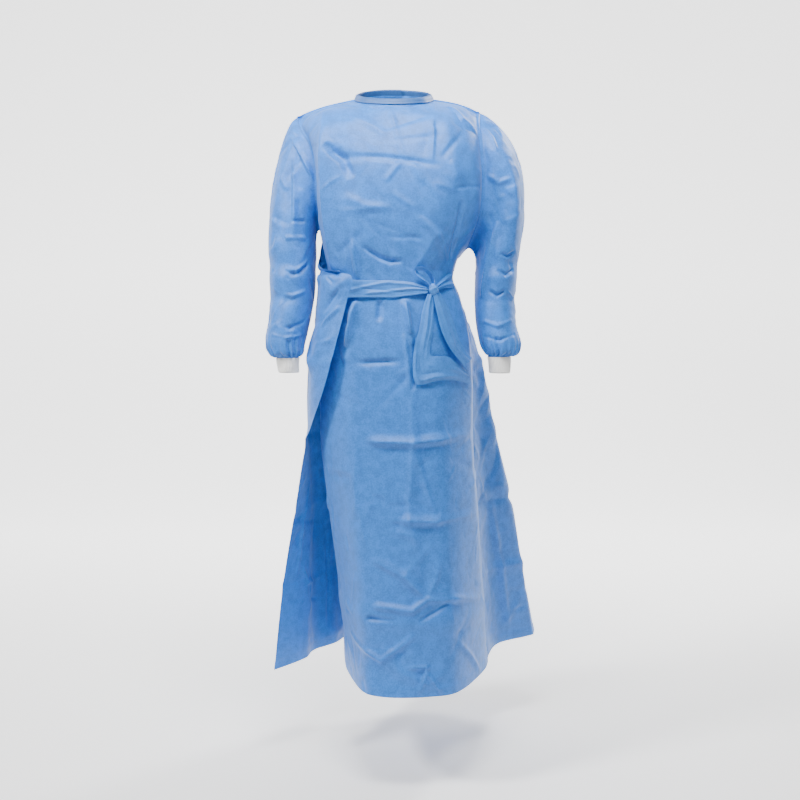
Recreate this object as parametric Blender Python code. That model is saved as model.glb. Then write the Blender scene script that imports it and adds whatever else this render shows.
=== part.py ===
"""A wrap-around surgical gown in its worn, hollow shape, with its own belt tied at the front.

Metres, +Z up, the front towards -Y. The wearer's right is at -X. The origin is the middle of the neck opening.
"""

import math
from collections import namedtuple

import bpy
import numpy as np
from mathutils.bvhtree import BVHTree

# Driving dimensions
WALL = 0.0016
SEAM_GAP = 0.0003
NECK_HALF_WIDTH = 0.081
NECK_FRONT_DEPTH = 0.074
NECK_BACK_DEPTH = 0.068
NECK_FRONT_HEIGHT = -0.039
NECK_BACK_HEIGHT = 0.008
HEM_HEIGHT = -1.222
BINDING_HEIGHT = 0.0100
BINDING_LEAN = 0.0040
NECK_NORMAL_SPREAD = np.array((8.0, 8.0, 0.0))
NECK_OVERLAP_STEP = 0.0042
CUFF_WALL = 0.0020
CUFF_STEPS = 4
FRONT_ROUNDNESS = 2.3
NECK_SHARE = 0.60
QUARTER_SHARE = 0.32

# Angles round the neck, 0 at the front, +90 at the wearer's left
OUTER_END_ANGLE = 188.0
INNER_END_ANGLE = -192.0
OUTER_NECK_ANGLES = (90.0, 118.0, 142.0, 166.0, OUTER_END_ANGLE)
INNER_NECK_ANGLES = (-90.0, -123.0, -157.0, INNER_END_ANGLE)

# Rows of every body panel, from the shoulders to the hem; row 5 is the underarm and row 8 the waist corner
UNDERARM_ROW = 5
LAST_ROW = 15
ROW_STEPS = (2, 2, 2, 2, 2, 1, 2, 1, 1, 2, 2, 2, 2, 3, 3)
FRONT_STEPS = (3, 3, 2, 2, 2, 2, 3, 3)
OUTER_STEPS = (2, 3, 4, 5, 5, 4, 4)
INNER_STEPS = (3, 3, 2, 3, 3)

# The array axis of a panel's edge, its row of points and the row beside it
EDGE_PLACES = {"top": (0, 0, 1), "left": (1, 0, 1), "right": (1, -1, -2)}

# How softly the front turns over its two side folds, above and below the chest: 1 is round and 0 a crisp crease
RIGHT_FOLD_SOFTNESS = (0.15, 0.45)
LEFT_FOLD_SOFTNESS = (0.70, 0.50)

FrontRow = namedtuple("FrontRow", "seam_right fold_right middle fold_left seam_left")
FRONT_ROWS = (
    FrontRow((-0.200, 0.000, -0.050), (-0.145, 0.000, -0.030), None, (0.130, 0.000, -0.024), (0.176, 0.000, -0.040)),
    FrontRow((-0.192, -0.022, -0.078), (-0.144, -0.070, -0.064), (0.003, -0.094, -0.078),
             (0.135, -0.060, -0.060), (0.1735, -0.030, -0.068)),
    FrontRow((-0.172, -0.045, -0.112), (-0.1435, -0.110, -0.120), (0.005, -0.115, -0.125),
             (0.149, -0.088, -0.120), (0.177, -0.055, -0.115)),
    FrontRow((-0.158, -0.056, -0.170), (-0.1455, -0.116, -0.190), (0.008, -0.128, -0.190),
             (0.160, -0.096, -0.185), (0.181, -0.062, -0.180)),
    FrontRow((-0.156, -0.045, -0.235), (-0.1435, -0.112, -0.245), (0.006, -0.131, -0.245),
             (0.162, -0.085, -0.245), (0.177, -0.052, -0.255)),
    FrontRow((-0.154, 0.000, -0.285), (-0.138, -0.104, -0.295), (0.002, -0.127, -0.300),
             (0.146, -0.066, -0.305), (0.153, 0.000, -0.322)),
    FrontRow((-0.143, 0.008, -0.342), (-0.129, -0.092, -0.345), (0.000, -0.121, -0.345),
             (0.126, -0.060, -0.345), (0.132, 0.005, -0.345)),
    FrontRow((-0.1385, 0.010, -0.365), (-0.126, -0.085, -0.365), (-0.002, -0.118, -0.365),
             (0.120, -0.058, -0.365), (0.126, 0.007, -0.365)),
    FrontRow((-0.136, 0.010, -0.385), (-0.124, -0.078, -0.385), (-0.004, -0.116, -0.385),
             (0.117, -0.057, -0.385), (0.122, 0.008, -0.385)),
    FrontRow((-0.137, 0.010, -0.430), (-0.128, -0.072, -0.430), (-0.004, -0.117, -0.430),
             (0.134, -0.055, -0.430), (0.138, 0.012, -0.430)),
    FrontRow((-0.141, 0.012, -0.500), (-0.139, -0.060, -0.500), (0.000, -0.124, -0.500),
             (0.152, -0.050, -0.500), (0.155, 0.020, -0.500)),
    FrontRow((-0.145, 0.020, -0.600), (-0.150, -0.045, -0.600), (0.002, -0.127, -0.600),
             (0.160, -0.050, -0.600), (0.163, 0.025, -0.600)),
    FrontRow((-0.146, 0.032, -0.720), (-0.153, -0.033, -0.720), (0.004, -0.130, -0.720),
             (0.160, -0.048, -0.720), (0.168, 0.032, -0.720)),
    FrontRow((-0.135, 0.050, -0.860), (-0.138, -0.025, -0.860), (0.006, -0.138, -0.860),
             (0.172, -0.042, -0.860), (0.178, 0.040, -0.860)),
    FrontRow((-0.121, 0.070, -1.030), (-0.1185, -0.010, -1.030), (0.010, -0.151, -1.030),
             (0.184, -0.025, -1.030), (0.193, 0.058, -1.030)),
    FrontRow((-0.112, 0.090, HEM_HEIGHT), (-0.102, 0.000, HEM_HEIGHT), (0.0125, -0.168, HEM_HEIGHT),
             (0.197, 0.003, HEM_HEIGHT), (0.2095, 0.077, HEM_HEIGHT)),
)

OuterRow = namedtuple("OuterRow", "seam pleat flare blade spine turn hip edge")
OUTER_ROWS = (
    OuterRow((0.176, 0.000, -0.040), (0.154, 0.000, -0.032), (0.130, 0.000, -0.024), None, None, None, None, None),
    OuterRow((0.170, 0.030, -0.068), (0.150, 0.044, -0.061), (0.128, 0.057, -0.055), (0.084, 0.078, -0.045),
             (0.053, 0.091, -0.040), (0.027, 0.0975, -0.037), (0.002, 0.0995, -0.036), (-0.022, 0.0985, -0.037)),
    OuterRow((0.168, 0.052, -0.112), (0.151, 0.069, -0.113), (0.131, 0.084, -0.113), (0.085, 0.107, -0.110),
             (0.045, 0.118, -0.105), (0.010, 0.122, -0.102), (-0.025, 0.122, -0.100), (-0.060, 0.115, -0.102)),
    OuterRow((0.166, 0.060, -0.178), (0.152, 0.078, -0.180), (0.134, 0.093, -0.180), (0.090, 0.115, -0.178),
             (0.040, 0.127, -0.175), (-0.008, 0.129, -0.172), (-0.055, 0.123, -0.170), (-0.098, 0.106, -0.170)),
    OuterRow((0.163, 0.048, -0.252), (0.151, 0.068, -0.252), (0.135, 0.085, -0.250), (0.093, 0.110, -0.248),
             (0.030, 0.125, -0.245), (-0.030, 0.125, -0.242), (-0.088, 0.111, -0.238), (-0.132, 0.083, -0.235)),
    OuterRow((0.153, 0.000, -0.322), (0.148, 0.030, -0.320), (0.136, 0.058, -0.316), (0.095, 0.098, -0.310),
             (0.022, 0.119, -0.305), (-0.055, 0.115, -0.298), (-0.118, 0.088, -0.293), (-0.150, 0.050, -0.290)),
    OuterRow((0.132, 0.005, -0.345), (0.129, 0.030, -0.345), (0.121, 0.055, -0.345), (0.078, 0.094, -0.345),
             (0.000, 0.112, -0.345), (-0.098, 0.090, -0.342), (-0.1465, 0.036, -0.339), (-0.1535, -0.012, -0.336)),
    OuterRow((0.126, 0.007, -0.365), (0.1235, 0.031, -0.365), (0.115, 0.055, -0.365), (0.072, 0.092, -0.365),
             (-0.010, 0.108, -0.365), (-0.120, 0.070, -0.365), (-0.1535, -0.005, -0.362), (-0.1430, -0.095, -0.367)),
    OuterRow((0.122, 0.008, -0.385), (0.120, 0.033, -0.385), (0.112, 0.055, -0.385), (0.068, 0.091, -0.385),
             (-0.020, 0.106, -0.385), (-0.1425, 0.032, -0.385), (-0.1425, -0.088, -0.385), (-0.083, -0.1240, -0.385)),
    OuterRow((0.138, 0.012, -0.430), (0.139, 0.040, -0.430), (0.133, 0.066, -0.430), (0.085, 0.103, -0.430),
             (-0.015, 0.116, -0.430), (-0.148, 0.036, -0.430), (-0.1480, -0.084, -0.430), (-0.092, -0.1215, -0.430)),
    OuterRow((0.155, 0.020, -0.500), (0.163, 0.050, -0.500), (0.170, 0.078, -0.500), (0.120, 0.125, -0.500),
             (-0.010, 0.136, -0.500), (-0.157, 0.042, -0.500), (-0.1590, -0.078, -0.500), (-0.110, -0.1230, -0.500)),
    OuterRow((0.163, 0.025, -0.600), (0.178, 0.060, -0.600), (0.199, 0.096, -0.600), (0.155, 0.156, -0.600),
             (-0.005, 0.166, -0.600), (-0.166, 0.058, -0.600), (-0.1735, -0.062, -0.600), (-0.138, -0.1110, -0.600)),
    OuterRow((0.168, 0.032, -0.720), (0.188, 0.078, -0.720), (0.227, 0.126, -0.720), (0.187, 0.190, -0.720),
             (0.000, 0.199, -0.720), (-0.166, 0.092, -0.720), (-0.1810, -0.020, -0.720), (-0.180, -0.062, -0.720)),
    OuterRow((0.178, 0.040, -0.860), (0.202, 0.104, -0.860), (0.2615, 0.160, -0.860), (0.220, 0.228, -0.860),
             (0.015, 0.235, -0.860), (-0.152, 0.150, -0.860), (-0.184, 0.045, -0.860), (-0.207, -0.030, -0.860)),
    OuterRow((0.193, 0.058, -1.030), (0.220, 0.138, -1.030), (0.294, 0.202, -1.030), (0.250, 0.276, -1.030),
             (0.030, 0.274, -1.030), (-0.146, 0.175, -1.030), (-0.190, 0.060, -1.030), (-0.2365, -0.012, -1.030)),
    OuterRow((0.2095, 0.077, HEM_HEIGHT), (0.241, 0.172, HEM_HEIGHT), (0.333, 0.250, HEM_HEIGHT),
             (0.285, 0.330, HEM_HEIGHT), (0.045, 0.318, HEM_HEIGHT), (-0.138, 0.200, HEM_HEIGHT),
             (-0.196, 0.072, HEM_HEIGHT), (-0.258, -0.008, HEM_HEIGHT)),
)

InnerRow = namedtuple("InnerRow", "seam fold neck blade spine edge")
INNER_ROWS = (
    InnerRow((-0.200, 0.000, -0.050), (-0.145, 0.000, -0.030), None, None, None, None),
    InnerRow((-0.190, 0.028, -0.080), (-0.141, 0.056, -0.064), (-0.083, 0.077, -0.049), (-0.052, 0.087, -0.043),
             (-0.015, 0.092, -0.041), (0.022, 0.0905, -0.041)),
    InnerRow((-0.172, 0.050, -0.115), (-0.140, 0.081, -0.115), (-0.088, 0.101, -0.112), (-0.050, 0.109, -0.108),
             (-0.005, 0.112, -0.106), (0.040, 0.108, -0.106)),
    InnerRow((-0.163, 0.060, -0.178), (-0.139, 0.077, -0.178), (-0.096, 0.097, -0.175), (-0.055, 0.111, -0.172),
             (-0.003, 0.117, -0.172), (0.055, 0.112, -0.172)),
    InnerRow((-0.160, 0.045, -0.235), (-0.140, 0.063, -0.238), (-0.101, 0.091, -0.240), (-0.055, 0.107, -0.243),
             (0.000, 0.114, -0.245), (0.065, 0.106, -0.245)),
    InnerRow((-0.154, 0.000, -0.285), (-0.139, 0.044, -0.290), (-0.106, 0.078, -0.293), (-0.055, 0.101, -0.298),
             (0.000, 0.108, -0.302), (0.070, 0.096, -0.305)),
    InnerRow((-0.143, 0.008, -0.342), (-0.133, 0.042, -0.343), (-0.099, 0.076, -0.344), (-0.050, 0.095, -0.345),
             (0.000, 0.101, -0.345), (0.063, 0.087, -0.345)),
    InnerRow((-0.1385, 0.010, -0.365), (-0.130, 0.042, -0.365), (-0.095, 0.073, -0.365), (-0.050, 0.090, -0.365),
             (0.000, 0.096, -0.365), (0.060, 0.083, -0.365)),
    InnerRow((-0.136, 0.010, -0.385), (-0.128, 0.042, -0.385), (-0.092, 0.071, -0.385), (-0.050, 0.087, -0.385),
             (0.000, 0.092, -0.385), (0.058, 0.080, -0.385)),
    InnerRow((-0.137, 0.010, -0.430), (-0.131, 0.047, -0.430), (-0.098, 0.077, -0.430), (-0.050, 0.095, -0.430),
             (0.000, 0.101, -0.430), (0.068, 0.090, -0.430)),
    InnerRow((-0.141, 0.012, -0.500), (-0.138, 0.051, -0.500), (-0.107, 0.085, -0.500), (-0.055, 0.111, -0.500),
             (0.000, 0.119, -0.500), (0.080, 0.110, -0.500)),
    InnerRow((-0.145, 0.020, -0.600), (-0.144, 0.060, -0.600), (-0.114, 0.100, -0.600), (-0.060, 0.134, -0.600),
             (0.000, 0.145, -0.600), (0.100, 0.138, -0.600)),
    InnerRow((-0.146, 0.032, -0.720), (-0.142, 0.075, -0.720), (-0.114, 0.120, -0.720), (-0.060, 0.158, -0.720),
             (0.010, 0.174, -0.720), (0.120, 0.168, -0.720)),
    InnerRow((-0.135, 0.050, -0.860), (-0.130, 0.095, -0.860), (-0.104, 0.144, -0.860), (-0.055, 0.186, -0.860),
             (0.020, 0.202, -0.860), (0.140, 0.196, -0.860)),
    InnerRow((-0.121, 0.070, -1.030), (-0.118, 0.118, -1.030), (-0.094, 0.172, -1.030), (-0.045, 0.216, -1.030),
             (0.030, 0.234, -1.030), (0.160, 0.226, -1.030)),
    InnerRow((-0.112, 0.090, HEM_HEIGHT), (-0.112, 0.142, HEM_HEIGHT), (-0.088, 0.202, HEM_HEIGHT),
             (-0.035, 0.248, HEM_HEIGHT), (0.040, 0.268, HEM_HEIGHT), (0.180, 0.258, HEM_HEIGHT)),
)

# Level sections of each sleeve, below the armhole
Section = namedtuple("Section", "z x y half_width half_depth")
Sleeve = namedtuple("Sleeve", "side fullness sections steps cuff")
RIGHT_SLEEVE = Sleeve(-1.0, 0.45, (
    Section(-0.335, -0.2120, 0.000, 0.0500, 0.066),
    Section(-0.410, -0.2118, -0.012, 0.0468, 0.060),
    Section(-0.470, -0.2170, -0.025, 0.0435, 0.054),
    Section(-0.520, -0.2255, -0.038, 0.0405, 0.047),
    Section(-0.540, -0.2215, -0.047, 0.0330, 0.036),
    Section(-0.5475, -0.2185, -0.050, 0.0228, 0.025),
), (2, 2, 2, 1, 1), (
    Section(-0.5478, -0.2185, -0.050, 0.0228, 0.025),
    Section(-0.578, -0.2168, -0.054, 0.0200, 0.022),
))
LEFT_SLEEVE = Sleeve(1.0, 1.35, (
    Section(-0.365, 0.2140, -0.003, 0.0440, 0.064),
    Section(-0.440, 0.2102, -0.015, 0.0416, 0.056),
    Section(-0.485, 0.2138, -0.027, 0.0415, 0.051),
    Section(-0.520, 0.2204, -0.038, 0.0424, 0.047),
    Section(-0.538, 0.2215, -0.046, 0.0340, 0.036),
    Section(-0.5455, 0.2163, -0.050, 0.0228, 0.025),
), (2, 2, 2, 1, 1), (
    Section(-0.5458, 0.2163, -0.050, 0.0228, 0.025),
    Section(-0.579, 0.2180, -0.054, 0.0205, 0.022),
))
CROWN_SHARES = (0.0, 0.05, 0.16, 0.30, 0.45, 0.62, 0.80)
CROWN_OUT, CROWN_FORWARD, CROWN_DOWN = 0.90, 0.45, 0.25
CROWN_CLEARANCE = 0.30
UNDERARM_REACH = 0.040

# Soft ridges (+) and troughs (-) of the front, from (x, z) to (x, z)
Fold = namedtuple("Fold", "x0 z0 x1 z1 width height")
FRONT_FOLDS = (
    Fold(-0.075, -0.440, -0.092, -0.545, 0.012, 0.0045),
    Fold(0.023, -0.440, 0.033, -0.510, 0.012, 0.0045),
    Fold(-0.115, -0.120, -0.085, -0.210, 0.022, -0.0040),
    Fold(0.110, -0.090, 0.120, -0.190, 0.020, 0.0040),
    Fold(0.037, -0.610, 0.037, -0.980, 0.018, 0.0030),
    Fold(-0.100, -1.065, 0.170, -1.080, 0.024, 0.0040),
    Fold(-0.090, -1.140, -0.010, -1.185, 0.024, -0.0040),
)

# Drape of the back: waves that start below the waist and grow to the hem
DRAPE_TOP = -0.46
BACK_WAVES = 3.5
BACK_WAVE_HEIGHT = 0.017
BACK_WAVE_GUIDES = (2.0, 6.0)
BACK_WAVE_GROWTH = 1.2
BACK_WAVE_FADE = 0.5

# Wrinkles round a sleeve: height, angle from the outside (0) over the front (90) to the inside (180)
Wrinkle = namedtuple("Wrinkle", "z angle spread width height")
SLEEVE_WRINKLES = (
    Wrinkle(-0.355, 60.0, 55.0, 0.014, -0.0035),
    Wrinkle(-0.385, 85.0, 60.0, 0.012, 0.0035),
    Wrinkle(-0.425, 60.0, 55.0, 0.014, -0.0040),
    Wrinkle(-0.365, 250.0, 60.0, 0.014, -0.0035),
    Wrinkle(-0.420, 270.0, 60.0, 0.014, 0.0035),
)

# The knot on the front, and the straps round it. A place is the strap's middle on the front (x, z), its width,
# the angle of the line across it (0 towards +X, 90 up) and its lift off the front
KNOT_PLACE = (0.0740, -0.4120)
KNOT_SIZE = (0.0115, 0.0070, 0.0125)
KNOT_LIFT = 0.0115
KNOT_GAP = 0.0003
Place = namedtuple("Place", "x z width angle lift")
BELT_TOP = -0.3910
BELT_BOTTOM = -0.4265
BELT_PLACES = (
    Place(-0.0600, -0.4090, 0.0350, 88.0, 0.0056),
    Place(-0.0300, -0.4090, 0.0350, 90.0, 0.0040),
    Place(0.0000, -0.4095, 0.0345, 90.0, 0.0036),
    Place(0.0350, -0.4090, 0.0270, 90.0, 0.0050),
)
TIE_PLACES = (
    Place(0.1180, -0.3890, 0.0340, 96.0, 0.0017),
    Place(0.1080, -0.3930, 0.0280, 104.0, 0.0036),
    Place(0.0960, -0.3990, 0.0190, 110.0, 0.0060),
)
LONG_TAIL_PLACES = (
    Place(0.0675, -0.4500, 0.0210, -4.0, 0.0075),
    Place(0.0640, -0.4850, 0.0270, -12.0, 0.0060),
    Place(0.0560, -0.5230, 0.0320, 0.0, 0.0060),
    Place(0.0590, -0.5695, 0.0630, 62.0, 0.0060),
    Place(0.0850, -0.5670, 0.0500, 88.0, 0.0060),
    Place(0.1100, -0.5680, 0.0460, 92.0, 0.0060),
    Place(0.1480, -0.5870, 0.0300, 108.0, 0.0060),
)
SHORT_TAIL_PLACES = (
    Place(0.0910, -0.4500, 0.0230, 16.0, 0.0125),
    Place(0.1040, -0.4930, 0.0270, 15.0, 0.0120),
    Place(0.1160, -0.5230, 0.0240, 25.0, 0.0130),
    Place(0.1420, -0.5560, 0.0220, 45.0, 0.0130),
)

# Where each strap meets the knot: the direction from its middle, and the strap's width and lift there
KnotEnd = namedtuple("KnotEnd", "angle width lift")
BELT_KNOT_END = KnotEnd(180.0, 0.0120, 0.0095)
TIE_KNOT_END = KnotEnd(28.0, 0.0110, 0.0095)
LONG_TAIL_KNOT_END = KnotEnd(-108.0, 0.0120, 0.0095)
SHORT_TAIL_KNOT_END = KnotEnd(-58.0, 0.0120, 0.0130)
LOOP_KNOT_ENDS = (KnotEnd(126.0, 0.0100, 0.0110), KnotEnd(88.0, 0.0100, 0.0125))
LOOP_POINTS = ((0.0560, -0.3880), (0.0440, -0.3765), (0.0440, -0.3690), (0.0560, -0.3670), (0.0680, -0.3800))
LOOP_WIDTH = 0.0100
LOOP_LIFT = 0.0115
LOOP_TILT = 0.40
STRAP_STEPS = 2
STRAP_SHARES = (-0.5, -0.17, 0.17, 0.5)
LOOP_STEPS = 3
KNOT_RINGS = 8
KNOT_COLUMNS = 12

CLOTH_BLUE = (0.235, 0.470, 0.760, 1.0)
BINDING_BLUE = (0.180, 0.340, 0.560, 1.0)
KNIT_WHITE = (0.780, 0.780, 0.770, 1.0)


def clear_scene():
    for obj in list(bpy.data.objects):
        bpy.data.objects.remove(obj)


def make_material(name, color, roughness):
    material = bpy.data.materials.new(name)
    material.use_nodes = True
    shader = material.node_tree.nodes["Principled BSDF"]
    shader.inputs["Base Color"].default_value = color
    shader.inputs["Roughness"].default_value = roughness
    shader.inputs["Metallic"].default_value = 0.0
    return material


# Curves and surfaces

def unit(vectors):
    return vectors / np.linalg.norm(vectors, axis=-1, keepdims=True)


def places_of(steps):
    """Reading places along a row of guides: 2.25 lies a quarter of the way from guide 2 to guide 3."""
    places = [span + part / count for span, count in enumerate(steps) for part in range(count)]
    return np.array(places + [len(steps)], dtype=float)


def flow(points, soft, places):
    """Reads the smooth curve through points at places. soft is 1 where it flows and 0 where it folds sharply."""
    gaps = np.sqrt(np.linalg.norm(np.diff(points, axis=0), axis=-1, keepdims=True)) + 1e-6
    runs = np.diff(points, axis=0) / gaps
    slopes = np.empty_like(points)
    slopes[1:-1] = (runs[:-1] * gaps[1:] + runs[1:] * gaps[:-1]) / (gaps[1:] + gaps[:-1])
    slopes[0] = 1.5 * runs[0] - 0.5 * slopes[1]
    slopes[-1] = 1.5 * runs[-1] - 0.5 * slopes[-2]
    slopes = slopes * soft[..., None]
    span = np.minimum(np.floor(places).astype(int), len(points) - 2)
    t = (places - span).reshape((-1,) + (1,) * (points.ndim - 1))
    start = (2 * t**3 - 3 * t**2 + 1) * points[span] + (t**3 - 2 * t**2 + t) * gaps[span] * slopes[span]
    end = (3 * t**2 - 2 * t**3) * points[span + 1] + (t**3 - t**2) * gaps[span] * slopes[span + 1]
    return start + end


def between(values, places):
    """Values given at whole places, read in between by straight lines."""
    span = np.minimum(np.floor(places).astype(int), len(values) - 2)
    t = (places - span)[:, None]
    return values[span] * (1 - t) + values[span + 1] * t


def surface(points, soft_down, soft_across, down_places, across_places):
    """points is rows by guides. Each guide flows down the rows first, and each row then flows across the guides."""
    guides = flow(points, soft_down, down_places)
    soft = between(soft_across, down_places)
    return flow(guides.swapaxes(0, 1), soft.swapaxes(0, 1), across_places).swapaxes(0, 1)


def surface_normals(grid, outward):
    """Unit normals of a grid of points, on the side where outward(point) points."""
    normals = unit(np.cross(np.gradient(grid, axis=0), np.gradient(grid, axis=1)) + 1e-12)
    middle = (grid.shape[0] // 2, grid.shape[1] // 2)
    if np.dot(normals[middle], outward) < 0:
        normals = -normals
    return normals


def neckline(angle, inward=0.0):
    a = math.radians(angle)
    depth = NECK_FRONT_DEPTH if math.cos(a) > 0 else NECK_BACK_DEPTH
    middle = (NECK_FRONT_HEIGHT + NECK_BACK_HEIGHT) / 2
    swing = (NECK_BACK_HEIGHT - NECK_FRONT_HEIGHT) / 2
    return ((NECK_HALF_WIDTH - inward) * math.sin(a), -(depth - inward) * math.cos(a), middle - swing * math.cos(a))


def front_guides(row):
    """The nine guides of one front row: both seams and folds, with rounded places between them and the middle."""
    middle = np.array(row.middle)

    def toward(fold, share):
        rise = 1 - (1 - share**FRONT_ROUNDNESS) ** (1 / FRONT_ROUNDNESS)
        return tuple(middle + (np.array(fold) - middle) * np.array((share, rise, share)))

    return [row.seam_right, row.fold_right, toward(row.fold_right, NECK_SHARE), toward(row.fold_right, QUARTER_SHARE),
            row.middle, toward(row.fold_left, QUARTER_SHARE), toward(row.fold_left, NECK_SHARE),
            row.fold_left, row.seam_left]


def front_points():
    top = FRONT_ROWS[0]
    neck = [neckline(angle) for angle in (-90.0, -48.0, 0.0, 48.0, 90.0)]
    rows = [[top.seam_right, top.fold_right] + neck + [top.fold_left, top.seam_left]]
    rows += [front_guides(row) for row in FRONT_ROWS[1:]]
    return np.array(rows)


def outer_points():
    neck = [neckline(angle) for angle in OUTER_NECK_ANGLES]
    rows = [list(OUTER_ROWS[0][:3]) + neck]
    return np.array(rows + [list(row) for row in OUTER_ROWS[1:]])


def inner_points():
    """The under panel's neck edge steps inwards at its free end, so that the outer flap lies over it."""
    steps = (0.0, 0.0, NECK_OVERLAP_STEP, NECK_OVERLAP_STEP)
    neck = [neckline(angle, inward) for angle, inward in zip(INNER_NECK_ANGLES, steps)]
    rows = [list(INNER_ROWS[0][:2]) + neck]
    return np.array(rows + [list(row) for row in INNER_ROWS[1:]])


def softness(points, seam_columns, neck_columns, fold_columns):
    """How softly a panel flows at each guide: corners at the underarm and at the side of the neck, crisp folds."""
    down = np.ones(points.shape[:2])
    across = np.ones(points.shape[:2])
    for column in seam_columns:
        down[UNDERARM_ROW, column] = 0.0
    for column in neck_columns:
        across[0, column] = 0.0
    for column, rows, value in fold_columns:
        across[rows, column] = value
    return down, across


def add_front_folds(grid, normals):
    """Adds the soft ridges and troughs of FRONT_FOLDS to the front panel."""
    flat = grid[..., (0, 2)]
    height = np.zeros(grid.shape[:2])
    for fold in FRONT_FOLDS:
        start = np.array((fold.x0, fold.z0))
        run = np.array((fold.x1, fold.z1)) - start
        along = np.clip(((flat - start) @ run) / (run @ run), 0.0, 1.0)
        away = np.linalg.norm(flat - start - along[..., None] * run, axis=-1)
        height += fold.height * np.exp(-((away / fold.width) ** 2))
    return grid + normals * height[..., None]


def add_back_waves(grid, normals, across_places):
    """Vertical waves of the draped back between two guides, growing from below the waist to the hem."""
    first, last = BACK_WAVE_GUIDES
    inside = np.clip((across_places - first) / (last - first), 0.0, 1.0)
    shape = np.sin(2 * math.pi * BACK_WAVES * inside) * np.sin(math.pi * inside) ** BACK_WAVE_FADE
    grow = np.clip((DRAPE_TOP - grid[..., 2]) / (DRAPE_TOP - HEM_HEIGHT), 0.0, 1.0) ** BACK_WAVE_GROWTH
    return grid + normals * (BACK_WAVE_HEIGHT * grow * shape[None, :])[..., None]


def away_from(points, normals, beside):
    """Unit directions along an edge, in the cloth's plane and square to the edge, that lead off the cloth."""
    across = np.cross(normals, unit(np.gradient(points, axis=0)))
    return unit(across * np.sign(np.sum(across * (points - beside))))


def seam_trim(panel, edge, gap):
    """Moves one edge of a panel back from its seam by gap."""
    axis, row, beside = EDGE_PLACES[edge]
    grid, normals = (np.moveaxis(values, axis, 0) for values in (panel.grid, panel.normals))
    grid[row] -= away_from(grid[row], normals[row], grid[beside]) * gap


def square_normals(edge_points, towards):
    """Normals along a seam: the wanted direction made square to the seam, the same for both of its panels."""
    run = unit(np.gradient(edge_points, axis=0))
    wanted = np.broadcast_to(np.array(towards, dtype=float), run.shape)
    return unit(wanted - run * np.sum(wanted * run, axis=-1, keepdims=True))


# Solids

def signed_volume(points, faces):
    volume = 0.0
    for face in faces:
        for i in range(1, len(face) - 1):
            volume += np.dot(points[face[0]], np.cross(points[face[i]], points[face[i + 1]]))
    return volume


def solid_object(name, points, faces, material):
    """A closed mesh object with its faces pointing out."""
    if signed_volume(points, faces) < 0:
        faces = [tuple(reversed(face)) for face in faces]
    mesh = bpy.data.meshes.new(name)
    mesh.from_pydata([tuple(point) for point in points], [], faces)
    mesh.shade_smooth()
    mesh.set_sharp_from_angle(angle=math.radians(50))
    mesh.materials.append(material)
    obj = bpy.data.objects.new(name, mesh)
    bpy.context.scene.collection.objects.link(obj)
    return obj


def wall_object(name, grid, normals, wall, material, wrap=False):
    """A closed wall round a grid of middle points. wrap joins the last column to the first."""
    rows, columns = grid.shape[:2]
    outer = (grid + normals * wall / 2).reshape(-1, 3)
    inner = (grid - normals * wall / 2).reshape(-1, 3)
    shift = rows * columns
    low = (rows - 1) * columns
    right = columns - 1
    faces = []
    last = columns if wrap else columns - 1
    for c in range(last):
        d = (c + 1) % columns
        for r in range(rows - 1):
            a, b, e, f = r * columns + c, r * columns + d, (r + 1) * columns + d, (r + 1) * columns + c
            faces.append((a, b, e, f))
            faces.append((f + shift, e + shift, b + shift, a + shift))
        faces.append((d, c, c + shift, d + shift))
        faces.append((low + c, low + d, low + d + shift, low + c + shift))
    if not wrap:
        for r in range(rows - 1):
            a, b = r * columns, (r + 1) * columns
            faces.append((a, b, b + shift, a + shift))
            faces.append((b + right, a + right, a + right + shift, b + right + shift))
    return solid_object(name, np.vstack((outer, inner)), faces, material)


Panel = namedtuple("Panel", "grid normals")
Edge = namedtuple("Edge", "points normals away")


def make_front():
    """The front panel, crisp along its side folds."""
    points = front_points()
    upper, lower = slice(1, UNDERARM_ROW + 1), slice(UNDERARM_ROW + 1, LAST_ROW + 1)
    folds = [(column, rows, value) for column, values in ((1, RIGHT_FOLD_SOFTNESS), (7, LEFT_FOLD_SOFTNESS))
             for rows, value in zip((upper, lower), values)]
    down, across = softness(points, (0, 8), (2, 6), folds)
    grid = surface(points, down, across, places_of(ROW_STEPS), places_of(FRONT_STEPS))
    normals = surface_normals(grid, (0.0, -1.0, 0.0))
    return Panel(add_front_folds(grid, normals), normals)


def make_outer():
    """The outer flap: the wearer's left back panel, round the back to its free edge at the front."""
    points = outer_points()
    down, across = softness(points, (0,), (3,), ())
    places = places_of(OUTER_STEPS)
    grid = surface(points, down, across, places_of(ROW_STEPS), places)
    normals = surface_normals(grid, (0.0, 1.0, 0.0))
    return Panel(add_back_waves(grid, normals, places), normals)


def make_inner():
    """The under panel: the wearer's right back panel."""
    points = inner_points()
    down, across = softness(points, (0,), (2,), ())
    grid = surface(points, down, across, places_of(ROW_STEPS), places_of(INNER_STEPS))
    return Panel(grid, surface_normals(grid, (0.0, 1.0, 0.0)))


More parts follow.
